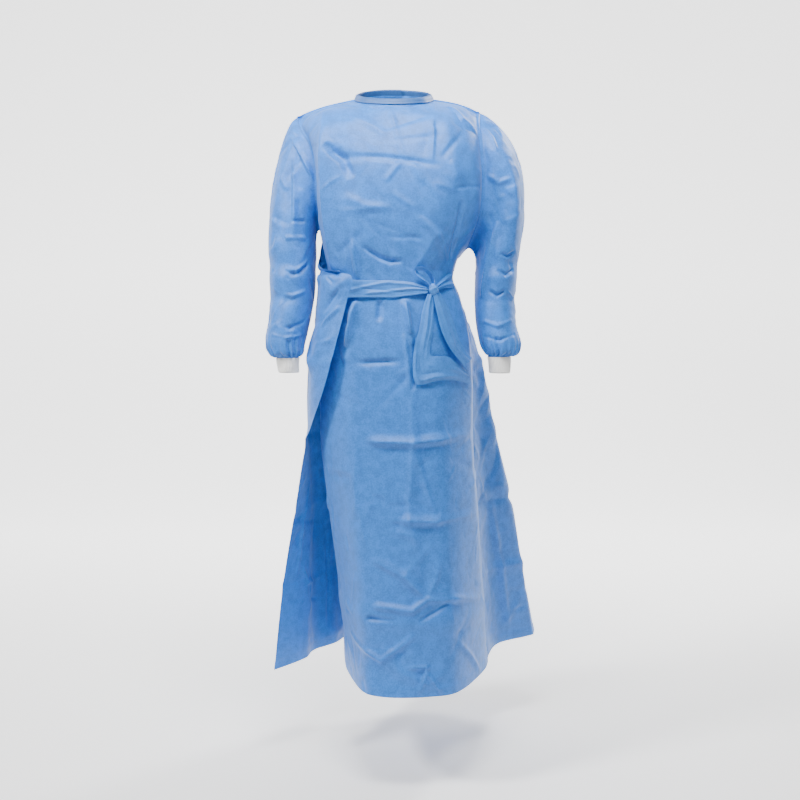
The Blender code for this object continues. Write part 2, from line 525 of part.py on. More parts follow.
def share_seams(front, outer, inner):
    """Gives both panels of each seam the same normals, reads the armholes and the neck edge, then trims the seams."""
    shoulder = sum(FRONT_STEPS[:2])
    underarm = sum(ROW_STEPS[:UNDERARM_ROW])
    left_shoulder = sum(OUTER_STEPS[:3])
    for panel, columns in ((front, slice(0, shoulder + 1)), (front, slice(-shoulder - 1, None)),
                           (inner, slice(0, shoulder + 1)), (outer, slice(0, left_shoulder + 1))):
        panel.normals[0, columns] = square_normals(panel.grid[0, columns], (0.0, 0.0, 1.0))
    for panel, columns in ((front, slice(shoulder, -shoulder)), (inner, slice(shoulder, None)),
                           (outer, slice(left_shoulder, None))):
        edge = panel.grid[0, columns]
        panel.normals[0, columns] = square_normals(edge, edge * NECK_NORMAL_SPREAD + np.array((0.0, 0.0, 1.0)))
    for panel, column, side in ((front, 0, -1.0), (inner, 0, -1.0), (front, -1, 1.0), (outer, 0, 1.0)):
        rows = slice(underarm, None)
        panel.normals[rows, column] = square_normals(panel.grid[rows, column], (side, 0.0, 0.0))
    down = slice(0, underarm + 1)
    edges = {
        "right": joined(side_edge(front, down, 0, 1), back_up(side_edge(inner, down, 0, 1))),
        "left": joined(side_edge(front, down, -1, -2), back_up(side_edge(outer, down, 0, 1))),
        "neck": joined(back_up(top_edge(inner, slice(shoulder, None)), whole=True),
                       top_edge(front, slice(shoulder + 1, -shoulder - 1)),
                       top_edge(outer, slice(left_shoulder, None))),
    }
    for panel, sides in ((front, ("top", "left", "right")), (outer, ("top", "left")), (inner, ("top", "left"))):
        for side in sides:
            seam_trim(panel, side, SEAM_GAP / 2)
    return edges


def side_edge(panel, rows, column, beside):
    """An armhole edge of a panel, with the directions that lead away from the panel."""
    return edge_of(panel.grid[rows, column], panel.normals[rows, column], panel.grid[rows, beside])


def top_edge(panel, columns):
    return edge_of(panel.grid[0, columns], panel.normals[0, columns], panel.grid[1, columns])


def edge_of(points, normals, beside):
    return Edge(points.copy(), normals.copy(), away_from(points, normals, beside))


def back_up(edge, whole=False):
    """The edge read the other way, without its two end points unless it is whole."""
    part = slice(None, None, -1) if whole else slice(-2, 0, -1)
    return Edge(*(values[part] for values in edge))


def joined(*edges):
    return Edge(*(np.vstack(values) for values in zip(*edges)))


def sleeve_grid(sleeve, ring):
    """A sleeve from its armhole ring down to the cuff, with the armhole's own normals at its first ring."""
    count = len(ring.points)
    steps = np.linalg.norm(np.roll(ring.points, -1, axis=0) - ring.points, axis=-1)
    half = count // 2
    angles = np.concatenate((
        np.cumsum(np.concatenate(([0.0], steps[:half - 1]))) / steps[:half].sum(),
        1.0 + np.cumsum(np.concatenate(([0.0], steps[half:-1]))) / steps[half:].sum(),
    )) * math.pi
    sections = np.array([section_ring(section, sleeve.side, angles) for section in sleeve.sections])
    lower = flow(sections, np.ones(sections.shape[:2]), places_of(sleeve.steps))
    target = lower[0]
    reach = np.linalg.norm(target - ring.points, axis=-1, keepdims=True)
    leave = unit(np.stack((CROWN_OUT * sleeve.side * np.ones(count), -CROWN_FORWARD * np.sin(angles),
                           -CROWN_DOWN * (1 + np.cos(angles))), axis=-1))
    clear = np.sum(leave * ring.away, axis=-1, keepdims=True)
    leave = unit(leave + ring.away * np.maximum(CROWN_CLEARANCE - clear, 0.0))
    leave = leave * np.maximum(reach * sleeve.fullness, UNDERARM_REACH)
    arrive = unit(lower[1] - lower[0]) * reach
    crown = []
    for t in CROWN_SHARES:
        start = (2 * t**3 - 3 * t**2 + 1) * ring.points + (t**3 - 2 * t**2 + t) * leave
        crown.append(start + (3 * t**2 - 2 * t**3) * target + (t**3 - t**2) * arrive)
    grid = np.concatenate((np.array(crown), lower))
    normals = ring_normals(grid)
    grid = add_wrinkles(grid, normals, np.degrees(angles))
    grid[0] = ring.points + ring.away * SEAM_GAP / 2
    normals[0] = ring.normals
    normals[-1] = unit(normals[-1] * np.array((1.0, 1.0, 0.0)))
    return Panel(grid, normals)


def section_ring(section, side, angles):
    """A level oval of a sleeve. Angle 0 is its outer side, 90 degrees its front and 180 its inner side."""
    return np.stack((section.x + side * section.half_width * np.cos(angles),
                     section.y - section.half_depth * np.sin(angles),
                     np.full(len(angles), section.z)), axis=-1)


def ring_normals(grid):
    """Outward unit normals of a tube of rings."""
    around = np.roll(grid, -1, axis=1) - np.roll(grid, 1, axis=1)
    normals = unit(np.cross(around, np.gradient(grid, axis=0)) + 1e-12)
    middle = grid.shape[0] - 3
    if np.sum(normals[middle] * (grid[middle] - grid[middle].mean(axis=0))) < 0:
        normals = -normals
    return normals


def add_wrinkles(grid, normals, angles):
    height = np.zeros(grid.shape[:2])
    for wrinkle in SLEEVE_WRINKLES:
        turn = (angles - wrinkle.angle + 180.0) % 360.0 - 180.0
        height += (wrinkle.height * np.exp(-((turn / wrinkle.spread) ** 2))[None, :]
                   * np.exp(-(((grid[..., 2] - wrinkle.z) / wrinkle.width) ** 2)))
    return grid + normals * height[..., None]


def make_sleeve(name, sleeve, ring, material):
    panel = sleeve_grid(sleeve, ring)
    wall_object("sleeve_" + name, panel.grid, panel.normals, WALL, material, wrap=True)
    return panel


def make_cuff(name, sleeve, columns, material):
    top, bottom = sleeve.cuff
    angles = np.arange(columns) * 2 * math.pi / columns
    rings = []
    for step in range(CUFF_STEPS + 1):
        t = step / CUFF_STEPS
        section = Section(*(a + (b - a) * t for a, b in zip(top, bottom)))
        rings.append(section_ring(section, sleeve.side, angles))
    grid = np.array(rings)
    wall_object("cuff_" + name, grid, ring_normals(grid), CUFF_WALL, material, wrap=True)


def make_binding(neck, material):
    """The neck binding stands on the panels' neck edge, all round from one end at the back to the other."""
    inwards = unit(neck.points * np.array((-1.0, -1.0, 0.0)))
    top = neck.points + inwards * BINDING_LEAN + np.array((0.0, 0.0, BINDING_HEIGHT))
    grid = np.array([neck.points + neck.away * SEAM_GAP / 2, (neck.points + top) / 2, top])
    normals = surface_normals(grid, -inwards[len(inwards) // 2])
    normals[0] = neck.normals
    wall_object("neck_binding", grid, normals, WALL, material)


class FrontSurface:
    """Finds points on the front panel's outer face, for what lies on it."""

    def __init__(self, panel):
        points = (panel.grid + panel.normals * WALL / 2).reshape(-1, 3)
        rows, columns = panel.grid.shape[:2]
        faces = []
        for r in range(rows - 1):
            for c in range(columns - 1):
                a = r * columns + c
                faces.append((a, a + 1, a + columns + 1, a + columns))
        self.tree = BVHTree.FromPolygons([tuple(p) for p in points], faces)

    def at(self, x, z, lift):
        hit, normal = self.tree.ray_cast((x, -1.0, z), (0.0, 1.0, 0.0))[:2]
        normal = np.array(normal)
        if normal[1] > 0:
            normal = -normal
        return np.array(hit) + normal * lift, normal


def knot_place(end):
    """The place where a strap starts, just clear of the knot."""
    narrow = math.sqrt(1 - ((end.lift - KNOT_LIFT) / KNOT_SIZE[1]) ** 2)
    a = math.radians(end.angle)
    x = KNOT_PLACE[0] + math.cos(a) * (KNOT_SIZE[0] * narrow + KNOT_GAP)
    z = KNOT_PLACE[1] + math.sin(a) * (KNOT_SIZE[2] * narrow + KNOT_GAP)
    return Place(x, z, end.width, end.angle + 90.0, end.lift)


def strap_rows(places, front):
    """Rows of points across a strap, on the front panel and moved out from it."""
    line = np.array([(place.x, place.z, place.width * math.cos(math.radians(place.angle)),
                      place.width * math.sin(math.radians(place.angle)), place.lift) for place in places])
    path = flow(line, np.ones(len(line)), places_of((STRAP_STEPS,) * (len(places) - 1)))
    rows = []
    for x, z, dx, dz, lift in path:
        rows.append([front.at(x + dx * share, z + dz * share, lift)[0] for share in STRAP_SHARES])
    return np.array(rows)


def make_strap(name, places, front, material):
    grid = strap_rows(places, front)
    wall_object(name, grid, surface_normals(grid, (0.0, -1.0, 0.0)), WALL, material)


def make_belt(outer, front, material):
    """The belt starts on the flap's free edge, 0.3 mm clear of it, and crosses the front to the knot."""
    end = knot_place(BELT_KNOT_END)._replace(angle=90.0)
    grid = strap_rows(BELT_PLACES + (end,), front)
    middle = (BELT_TOP + BELT_BOTTOM) / 2
    heights = np.array([middle + (BELT_TOP - BELT_BOTTOM) * share for share in STRAP_SHARES])
    edge, beside = outer.grid[::-1, -1], outer.grid[::-1, -2]
    start = np.stack([np.interp(heights, edge[:, 2], edge[:, axis]) for axis in range(3)], axis=-1)
    behind = np.stack([np.interp(heights, edge[:, 2], beside[:, axis]) for axis in range(3)], axis=-1)
    start = start + unit(start - behind) * SEAM_GAP
    grid = np.concatenate((start[None], (start[None] + grid[:1]) / 2, grid))
    normals = surface_normals(grid, (0.0, -1.0, 0.0))
    edge_normals = outer.normals[::-1, -1]
    normals[0] = unit(np.stack([np.interp(heights, edge[:, 2], edge_normals[:, axis]) for axis in range(3)], axis=-1))
    wall_object("belt_front", grid, normals, WALL, material)


def make_loop(front, material):
    """The bow's one loop: a strap standing on its edge that leaves the knot, turns and comes back."""
    first, last = (knot_place(end) for end in LOOP_KNOT_ENDS)
    places = [(first.x, first.z, first.lift)] + [(x, z, LOOP_LIFT) for x, z in LOOP_POINTS]
    places.append((last.x, last.z, last.lift))
    line = np.array([front.at(*place)[0] for place in places])
    path = flow(line, np.ones(len(line)), places_of((LOOP_STEPS,) * (len(line) - 1)))
    run = unit(np.gradient(path, axis=0))
    outwards = unit(path - path.mean(axis=0)) * LOOP_TILT + np.array((0.0, -1.0, 0.0))
    across = unit(outwards - run * np.sum(outwards * run, axis=-1, keepdims=True))
    shares = np.array((-0.5, 0.0, 0.5))
    grid = path[:, None] + across[:, None] * (LOOP_WIDTH * shares)[None, :, None]
    normals = surface_normals(grid, (-1.0, 0.0, 0.0))
    wall_object("belt_loop", grid, normals, WALL, material)


def make_knot(front, material):
    """The knot: a rounded lump of crossed cloth."""
    centre, _ = front.at(*KNOT_PLACE, KNOT_LIFT)
    size = np.array(KNOT_SIZE)
    points = [centre + size * np.array((0.0, 0.0, 1.0))]
    for r in range(1, KNOT_RINGS):
        polar = math.pi * r / KNOT_RINGS
        for c in range(KNOT_COLUMNS):
            turn = 2 * math.pi * c / KNOT_COLUMNS
            ball = (math.sin(polar) * math.cos(turn), math.sin(polar) * math.sin(turn), math.cos(polar))
            points.append(centre + size * np.array(ball))
    points.append(centre - size * np.array((0.0, 0.0, 1.0)))
    low = 1 + (KNOT_RINGS - 2) * KNOT_COLUMNS
    faces = []
    for c in range(KNOT_COLUMNS):
        d = (c + 1) % KNOT_COLUMNS
        faces.append((0, 1 + c, 1 + d))
        faces.append((low + c, len(points) - 1, low + d))
        for r in range(KNOT_RINGS - 2):
            a = 1 + r * KNOT_COLUMNS
            faces.append((a + c, a + KNOT_COLUMNS + c, a + KNOT_COLUMNS + d, a + d))
    solid_object("belt_knot", np.array(points), faces, material)


def make_gown():
    clear_scene()
    cloth = make_material("nonwoven_cloth", CLOTH_BLUE, 0.62)
    trim = make_material("binding_cloth", BINDING_BLUE, 0.66)
    strap = make_material("strap_cloth", CLOTH_BLUE, 0.60)
    knit = make_material("white_knit", KNIT_WHITE, 0.90)

    front = make_front()
    outer = make_outer()
    inner = make_inner()
    edges = share_seams(front, outer, inner)
    wall_object("front_panel", front.grid, front.normals, WALL, cloth)
    wall_object("back_left", outer.grid, outer.normals, WALL, cloth)
    wall_object("back_right", inner.grid, inner.normals, WALL, cloth)
    for name, sleeve in (("right", RIGHT_SLEEVE), ("left", LEFT_SLEEVE)):
        make_sleeve(name, sleeve, edges[name], cloth)
        make_cuff(name, sleeve, len(edges[name].points), knit)
    make_binding(edges["neck"], trim)

    on_front = FrontSurface(front)
    make_belt(outer, on_front, strap)
    tie_end = knot_place(TIE_KNOT_END)
    make_strap("tie_side", TIE_PLACES + (tie_end,), on_front, strap)
    for name, places, end in (("belt_tail_long", LONG_TAIL_PLACES, LONG_TAIL_KNOT_END),
                              ("belt_tail_short", SHORT_TAIL_PLACES, SHORT_TAIL_KNOT_END)):
        make_strap(name, (knot_place(end),) + places, on_front, strap)
    make_loop(on_front, strap)
    make_knot(on_front, strap)


make_gown()
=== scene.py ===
"""The look of the surgical gown: fine cloth over its walls, creases, straps, knit, studio light and camera.

Metres, in the row frame: +Z up, the front towards -Y, the wearer's right at -X.
"""

import math
from collections import namedtuple

import bpy
import numpy as np
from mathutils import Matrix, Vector
from mathutils.bvhtree import BVHTree


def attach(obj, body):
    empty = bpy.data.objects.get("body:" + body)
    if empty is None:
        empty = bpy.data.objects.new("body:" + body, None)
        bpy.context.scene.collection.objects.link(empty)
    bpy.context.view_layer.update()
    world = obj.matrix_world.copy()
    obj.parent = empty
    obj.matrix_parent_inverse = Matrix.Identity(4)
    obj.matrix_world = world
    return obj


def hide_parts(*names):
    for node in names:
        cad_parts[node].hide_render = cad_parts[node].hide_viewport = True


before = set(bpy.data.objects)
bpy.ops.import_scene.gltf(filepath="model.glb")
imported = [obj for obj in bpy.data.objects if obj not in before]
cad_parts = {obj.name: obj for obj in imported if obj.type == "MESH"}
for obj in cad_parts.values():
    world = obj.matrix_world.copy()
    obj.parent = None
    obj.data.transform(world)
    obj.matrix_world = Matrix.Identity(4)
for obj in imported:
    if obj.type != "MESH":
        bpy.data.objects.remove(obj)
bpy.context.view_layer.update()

# Driving dimensions
NECK_HALF_WIDTH = 0.081
NECK_FRONT_DEPTH = 0.074
NECK_BACK_DEPTH = 0.068
NECK_FRONT_HEIGHT = -0.039
NECK_BACK_HEIGHT = 0.008
HEM_HEIGHT = -1.222
BINDING_HEIGHT = 0.01
BINDING_LEAN = 0.004
NECK_OVERLAP_STEP = 0.0042
FRONT_ROUNDNESS = 2.3
NECK_SHARE = 0.6
QUARTER_SHARE = 0.32

# Angles round the neck, 0 at the front, +90 at the wearer's left
OUTER_END_ANGLE = 188.0
INNER_END_ANGLE = -192.0
OUTER_NECK_ANGLES = (90.0, 118.0, 142.0, 166.0, OUTER_END_ANGLE)
INNER_NECK_ANGLES = (-90.0, -123.0, -157.0, INNER_END_ANGLE)

# Rows of every body panel, from the shoulders to the hem; row 5 is the underarm and row 8 the waist corner
UNDERARM_ROW = 5
LAST_ROW = 15

# How softly the front turns over its two side folds, above and below the chest: 1 is round, 0 is crisp
RIGHT_FOLD_SOFTNESS = (0.15, 0.45)
LEFT_FOLD_SOFTNESS = (0.7, 0.5)


def level_row(kind, z, *places):
    """A row of a body panel whose guides are all at the height z."""
    return kind(*((x, y, z) for x, y in places))


FrontRow = namedtuple("FrontRow", "seam_right fold_right middle fold_left seam_left")
FRONT_ROWS = (
    FrontRow((-0.2, 0.0, -0.05), (-0.145, 0.0, -0.03), None, (0.13, 0.0, -0.024), (0.176, 0.0, -0.04)),
    FrontRow((-0.192, -0.022, -0.078), (-0.144, -0.07, -0.064), (0.003, -0.094, -0.078),
            (0.135, -0.06, -0.06), (0.1735, -0.03, -0.068)),
    FrontRow((-0.172, -0.045, -0.112), (-0.1435, -0.11, -0.12), (0.005, -0.115, -0.125),
            (0.149, -0.088, -0.12), (0.177, -0.055, -0.115)),
    FrontRow((-0.158, -0.056, -0.17), (-0.1455, -0.116, -0.19), (0.008, -0.128, -0.19),
            (0.16, -0.096, -0.185), (0.181, -0.062, -0.18)),
    FrontRow((-0.156, -0.045, -0.235), (-0.1435, -0.112, -0.245), (0.006, -0.131, -0.245),
            (0.162, -0.085, -0.245), (0.177, -0.052, -0.255)),
    FrontRow((-0.154, 0.0, -0.285), (-0.138, -0.104, -0.295), (0.002, -0.127, -0.3),
            (0.146, -0.066, -0.305), (0.153, 0.0, -0.322)),
    FrontRow((-0.143, 0.008, -0.342), (-0.129, -0.092, -0.345), (0.0, -0.121, -0.345),
            (0.126, -0.06, -0.345), (0.132, 0.005, -0.345)),
    level_row(FrontRow, -0.365, (-0.1385, 0.01), (-0.126, -0.085), (-0.002, -0.118), (0.12, -0.058),
            (0.126, 0.007)),
    level_row(FrontRow, -0.385, (-0.136, 0.01), (-0.124, -0.078), (-0.004, -0.116), (0.117, -0.057),
            (0.122, 0.008)),
    level_row(FrontRow, -0.43, (-0.137, 0.01), (-0.128, -0.072), (-0.004, -0.117), (0.134, -0.055),
            (0.138, 0.012)),
    level_row(FrontRow, -0.5, (-0.141, 0.012), (-0.139, -0.06), (0.0, -0.124), (0.152, -0.05),
            (0.155, 0.02)),
    level_row(FrontRow, -0.6, (-0.145, 0.02), (-0.15, -0.045), (0.002, -0.127), (0.16, -0.05),
            (0.163, 0.025)),
    level_row(FrontRow, -0.72, (-0.146, 0.032), (-0.153, -0.033), (0.004, -0.13), (0.16, -0.048),
            (0.168, 0.032)),
    level_row(FrontRow, -0.86, (-0.135, 0.05), (-0.138, -0.025), (0.006, -0.138), (0.172, -0.042),
            (0.178, 0.04)),
    level_row(FrontRow, -1.03, (-0.121, 0.07), (-0.1185, -0.01), (0.01, -0.151), (0.184, -0.025),
            (0.193, 0.058)),
    level_row(FrontRow, HEM_HEIGHT, (-0.112, 0.09), (-0.102, 0.0), (0.0125, -0.168), (0.197, 0.003),
            (0.2095, 0.077)),
)

OuterRow = namedtuple("OuterRow", "seam pleat flare blade spine turn hip edge")
OUTER_ROWS = (
    OuterRow((0.176, 0.0, -0.04), (0.154, 0.0, -0.032), (0.13, 0.0, -0.024), None, None, None, None, None),
    OuterRow((0.17, 0.03, -0.068), (0.15, 0.044, -0.061), (0.128, 0.057, -0.055), (0.084, 0.078, -0.045),
            (0.053, 0.091, -0.04), (0.027, 0.0975, -0.037), (0.002, 0.0995, -0.036),
            (-0.022, 0.0985, -0.037)),
    OuterRow((0.168, 0.052, -0.112), (0.151, 0.069, -0.113), (0.131, 0.084, -0.113), (0.085, 0.107, -0.11),
            (0.045, 0.118, -0.105), (0.01, 0.122, -0.102), (-0.025, 0.122, -0.1), (-0.06, 0.115, -0.102)),
    OuterRow((0.166, 0.06, -0.178), (0.152, 0.078, -0.18), (0.134, 0.093, -0.18), (0.09, 0.115, -0.178),
            (0.04, 0.127, -0.175), (-0.008, 0.129, -0.172), (-0.055, 0.123, -0.17), (-0.098, 0.106, -0.17)),
    OuterRow((0.163, 0.048, -0.252), (0.151, 0.068, -0.252), (0.135, 0.085, -0.25), (0.093, 0.11, -0.248),
            (0.03, 0.125, -0.245), (-0.03, 0.125, -0.242), (-0.088, 0.111, -0.238),
            (-0.132, 0.083, -0.235)),
    OuterRow((0.153, 0.0, -0.322), (0.148, 0.03, -0.32), (0.136, 0.058, -0.316), (0.095, 0.098, -0.31),
            (0.022, 0.119, -0.305), (-0.055, 0.115, -0.298), (-0.118, 0.088, -0.293), (-0.15, 0.05, -0.29)),
    OuterRow((0.132, 0.005, -0.345), (0.129, 0.03, -0.345), (0.121, 0.055, -0.345), (0.078, 0.094, -0.345),
            (0.0, 0.112, -0.345), (-0.098, 0.09, -0.342), (-0.1465, 0.036, -0.339),
            (-0.1535, -0.012, -0.336)),
    OuterRow((0.126, 0.007, -0.365), (0.1235, 0.031, -0.365), (0.115, 0.055, -0.365),
            (0.072, 0.092, -0.365), (-0.01, 0.108, -0.365), (-0.12, 0.07, -0.365),
            (-0.1535, -0.005, -0.362), (-0.143, -0.095, -0.367)),
    level_row(OuterRow, -0.385, (0.122, 0.008), (0.12, 0.033), (0.112, 0.055), (0.068, 0.091),
            (-0.02, 0.106), (-0.1425, 0.032), (-0.1425, -0.088), (-0.083, -0.124)),
    level_row(OuterRow, -0.43, (0.138, 0.012), (0.139, 0.04), (0.133, 0.066), (0.085, 0.103),
            (-0.015, 0.116), (-0.148, 0.036), (-0.148, -0.084), (-0.092, -0.1215)),
    level_row(OuterRow, -0.5, (0.155, 0.02), (0.163, 0.05), (0.17, 0.078), (0.12, 0.125), (-0.01, 0.136),
            (-0.157, 0.042), (-0.159, -0.078), (-0.11, -0.123)),
    level_row(OuterRow, -0.6, (0.163, 0.025), (0.178, 0.06), (0.199, 0.096), (0.155, 0.156),
            (-0.005, 0.166), (-0.166, 0.058), (-0.1735, -0.062), (-0.138, -0.111)),
    level_row(OuterRow, -0.72, (0.168, 0.032), (0.188, 0.078), (0.227, 0.126), (0.187, 0.19), (0.0, 0.199),
            (-0.166, 0.092), (-0.181, -0.02), (-0.18, -0.062)),
    level_row(OuterRow, -0.86, (0.178, 0.04), (0.202, 0.104), (0.2615, 0.16), (0.22, 0.228), (0.015, 0.235),
            (-0.152, 0.15), (-0.184, 0.045), (-0.207, -0.03)),
    level_row(OuterRow, -1.03, (0.193, 0.058), (0.22, 0.138), (0.294, 0.202), (0.25, 0.276), (0.03, 0.274),
            (-0.146, 0.175), (-0.19, 0.06), (-0.2365, -0.012)),
    level_row(OuterRow, HEM_HEIGHT, (0.2095, 0.077), (0.241, 0.172), (0.333, 0.25), (0.285, 0.33),
            (0.045, 0.318), (-0.138, 0.2), (-0.196, 0.072), (-0.258, -0.008)),
)

InnerRow = namedtuple("InnerRow", "seam fold neck blade spine edge")
INNER_ROWS = (
    InnerRow((-0.2, 0.0, -0.05), (-0.145, 0.0, -0.03), None, None, None, None),
    InnerRow((-0.19, 0.028, -0.08), (-0.141, 0.056, -0.064), (-0.083, 0.077, -0.049),
            (-0.052, 0.087, -0.043), (-0.015, 0.092, -0.041), (0.022, 0.0905, -0.041)),
    InnerRow((-0.172, 0.05, -0.115), (-0.14, 0.081, -0.115), (-0.088, 0.101, -0.112),
            (-0.05, 0.109, -0.108), (-0.005, 0.112, -0.106), (0.04, 0.108, -0.106)),
    InnerRow((-0.163, 0.06, -0.178), (-0.139, 0.077, -0.178), (-0.096, 0.097, -0.175),
            (-0.055, 0.111, -0.172), (-0.003, 0.117, -0.172), (0.055, 0.112, -0.172)),
    InnerRow((-0.16, 0.045, -0.235), (-0.14, 0.063, -0.238), (-0.101, 0.091, -0.24),
            (-0.055, 0.107, -0.243), (0.0, 0.114, -0.245), (0.065, 0.106, -0.245)),
    InnerRow((-0.154, 0.0, -0.285), (-0.139, 0.044, -0.29), (-0.106, 0.078, -0.293),
            (-0.055, 0.101, -0.298), (0.0, 0.108, -0.302), (0.07, 0.096, -0.305)),
    InnerRow((-0.143, 0.008, -0.342), (-0.133, 0.042, -0.343), (-0.099, 0.076, -0.344),
            (-0.05, 0.095, -0.345), (0.0, 0.101, -0.345), (0.063, 0.087, -0.345)),
    level_row(InnerRow, -0.365, (-0.1385, 0.01), (-0.13, 0.042), (-0.095, 0.073), (-0.05, 0.09),
            (0.0, 0.096), (0.06, 0.083)),
    level_row(InnerRow, -0.385, (-0.136, 0.01), (-0.128, 0.042), (-0.092, 0.071), (-0.05, 0.087),
            (0.0, 0.092), (0.058, 0.08)),
    level_row(InnerRow, -0.43, (-0.137, 0.01), (-0.131, 0.047), (-0.098, 0.077), (-0.05, 0.095),
            (0.0, 0.101), (0.068, 0.09)),
    level_row(InnerRow, -0.5, (-0.141, 0.012), (-0.138, 0.051), (-0.107, 0.085), (-0.055, 0.111),
            (0.0, 0.119), (0.08, 0.11)),
    level_row(InnerRow, -0.6, (-0.145, 0.02), (-0.144, 0.06), (-0.114, 0.1), (-0.06, 0.134), (0.0, 0.145),
            (0.1, 0.138)),
    level_row(InnerRow, -0.72, (-0.146, 0.032), (-0.142, 0.075), (-0.114, 0.12), (-0.06, 0.158),
            (0.01, 0.174), (0.12, 0.168)),
    level_row(InnerRow, -0.86, (-0.135, 0.05), (-0.13, 0.095), (-0.104, 0.144), (-0.055, 0.186),
            (0.02, 0.202), (0.14, 0.196)),
    level_row(InnerRow, -1.03, (-0.121, 0.07), (-0.118, 0.118), (-0.094, 0.172), (-0.045, 0.216),
            (0.03, 0.234), (0.16, 0.226)),
    level_row(InnerRow, HEM_HEIGHT, (-0.112, 0.09), (-0.112, 0.142), (-0.088, 0.202), (-0.035, 0.248),
            (0.04, 0.268), (0.18, 0.258)),
)

# Level sections of each sleeve, below the armhole
Section = namedtuple("Section", "z x y half_width half_depth")
Sleeve = namedtuple("Sleeve", "side fullness sections cuff")
RIGHT_SLEEVE = Sleeve(-1.0, 0.45, (
    Section(-0.335, -0.212, 0.0, 0.05, 0.066),
    Section(-0.41, -0.2118, -0.012, 0.0468, 0.06),
    Section(-0.47, -0.217, -0.025, 0.0435, 0.054),
    Section(-0.52, -0.2255, -0.038, 0.0405, 0.047),
    Section(-0.54, -0.2215, -0.047, 0.033, 0.036),
    Section(-0.5475, -0.2185, -0.05, 0.0228, 0.025),
), (
    Section(-0.5478, -0.2185, -0.05, 0.0228, 0.025),
    Section(-0.578, -0.2168, -0.054, 0.02, 0.022),
))
LEFT_SLEEVE = Sleeve(1.0, 1.35, (
    Section(-0.365, 0.214, -0.003, 0.044, 0.064),
    Section(-0.44, 0.2102, -0.015, 0.0416, 0.056),
    Section(-0.485, 0.2138, -0.027, 0.0415, 0.051),
    Section(-0.52, 0.2204, -0.038, 0.0424, 0.047),
    Section(-0.538, 0.2215, -0.046, 0.034, 0.036),
    Section(-0.5455, 0.2163, -0.05, 0.0228, 0.025),
), (
    Section(-0.5458, 0.2163, -0.05, 0.0228, 0.025),
    Section(-0.579, 0.218, -0.054, 0.0205, 0.022),
))
CROWN_OUT, CROWN_FORWARD, CROWN_DOWN = 0.9, 0.45, 0.25
CROWN_CLEARANCE = 0.3
CROWN_SLACK = 1.15
UNDERARM_REACH = 0.04

# Soft ridges (+) and troughs (-) of the front, from (x, z) to (x, z)
Fold = namedtuple("Fold", "x0 z0 x1 z1 width height")
FRONT_FOLDS = (
    Fold(-0.075, -0.44, -0.092, -0.545, 0.012, 0.0045),
    Fold(0.023, -0.44, 0.033, -0.51, 0.012, 0.0045),
    Fold(-0.115, -0.12, -0.085, -0.21, 0.022, -0.004),
    Fold(0.11, -0.09, 0.12, -0.19, 0.02, 0.004),
    Fold(0.037, -0.61, 0.037, -0.98, 0.018, 0.003),
    Fold(-0.1, -1.065, 0.17, -1.08, 0.024, 0.004),
    Fold(-0.09, -1.14, -0.01, -1.185, 0.024, -0.004),
)

# Drape of the back: waves that start below the waist and grow to the hem
DRAPE_TOP = -0.46
BACK_WAVES = 3.5
BACK_WAVE_HEIGHT = 0.017
BACK_WAVE_GUIDES = (2.0, 6.0)
BACK_WAVE_GROWTH = 1.2
BACK_WAVE_FADE = 0.5

# Wrinkles round a sleeve: height, angle from the outside (0) over the front (90) to the inside (180)
Wrinkle = namedtuple("Wrinkle", "z angle spread width height")
SLEEVE_WRINKLES = (
    Wrinkle(-0.355, 60.0, 55.0, 0.014, -0.0035),
    Wrinkle(-0.385, 85.0, 60.0, 0.012, 0.0035),
    Wrinkle(-0.425, 60.0, 55.0, 0.014, -0.004),
    Wrinkle(-0.365, 250.0, 60.0, 0.014, -0.0035),
    Wrinkle(-0.42, 270.0, 60.0, 0.014, 0.0035),
)

# The knot on the front, and the straps round it. A place is the strap's middle on the front (x, z), its
# width,
# the angle of the line across it (0 towards +X, 90 up) and its lift off the front
KNOT_PLACE = (0.074, -0.412)
KNOT_SIZE = (0.0115, 0.007, 0.0125)
KNOT_LIFT = 0.0115
Place = namedtuple("Place", "x z width angle lift")
BELT_TOP = -0.391
BELT_BOTTOM = -0.4265
BELT_PLACES = (
    Place(-0.06, -0.409, 0.035, 88.0, 0.0056),
    Place(-0.03, -0.409, 0.035, 90.0, 0.004),
    Place(0.0, -0.4095, 0.0345, 90.0, 0.0036),
    Place(0.035, -0.409, 0.027, 90.0, 0.005),
)
TIE_PLACES = (
    Place(0.118, -0.389, 0.034, 96.0, 0.0017),
    Place(0.108, -0.393, 0.028, 104.0, 0.0036),
    Place(0.096, -0.399, 0.019, 110.0, 0.006),
)
LONG_TAIL_PLACES = (
    Place(0.0675, -0.45, 0.021, -4.0, 0.0075),
    Place(0.064, -0.485, 0.027, -12.0, 0.006),
    Place(0.056, -0.523, 0.032, 0.0, 0.006),
    Place(0.059, -0.5695, 0.063, 62.0, 0.006),
    Place(0.085, -0.567, 0.05, 88.0, 0.006),
    Place(0.11, -0.568, 0.046, 92.0, 0.006),
    Place(0.148, -0.587, 0.03, 108.0, 0.006),
)
SHORT_TAIL_PLACES = (
    Place(0.091, -0.45, 0.023, 16.0, 0.0125),
    Place(0.104, -0.493, 0.027, 15.0, 0.012),
    Place(0.116, -0.523, 0.024, 25.0, 0.013),
    Place(0.142, -0.556, 0.022, 45.0, 0.013),
)

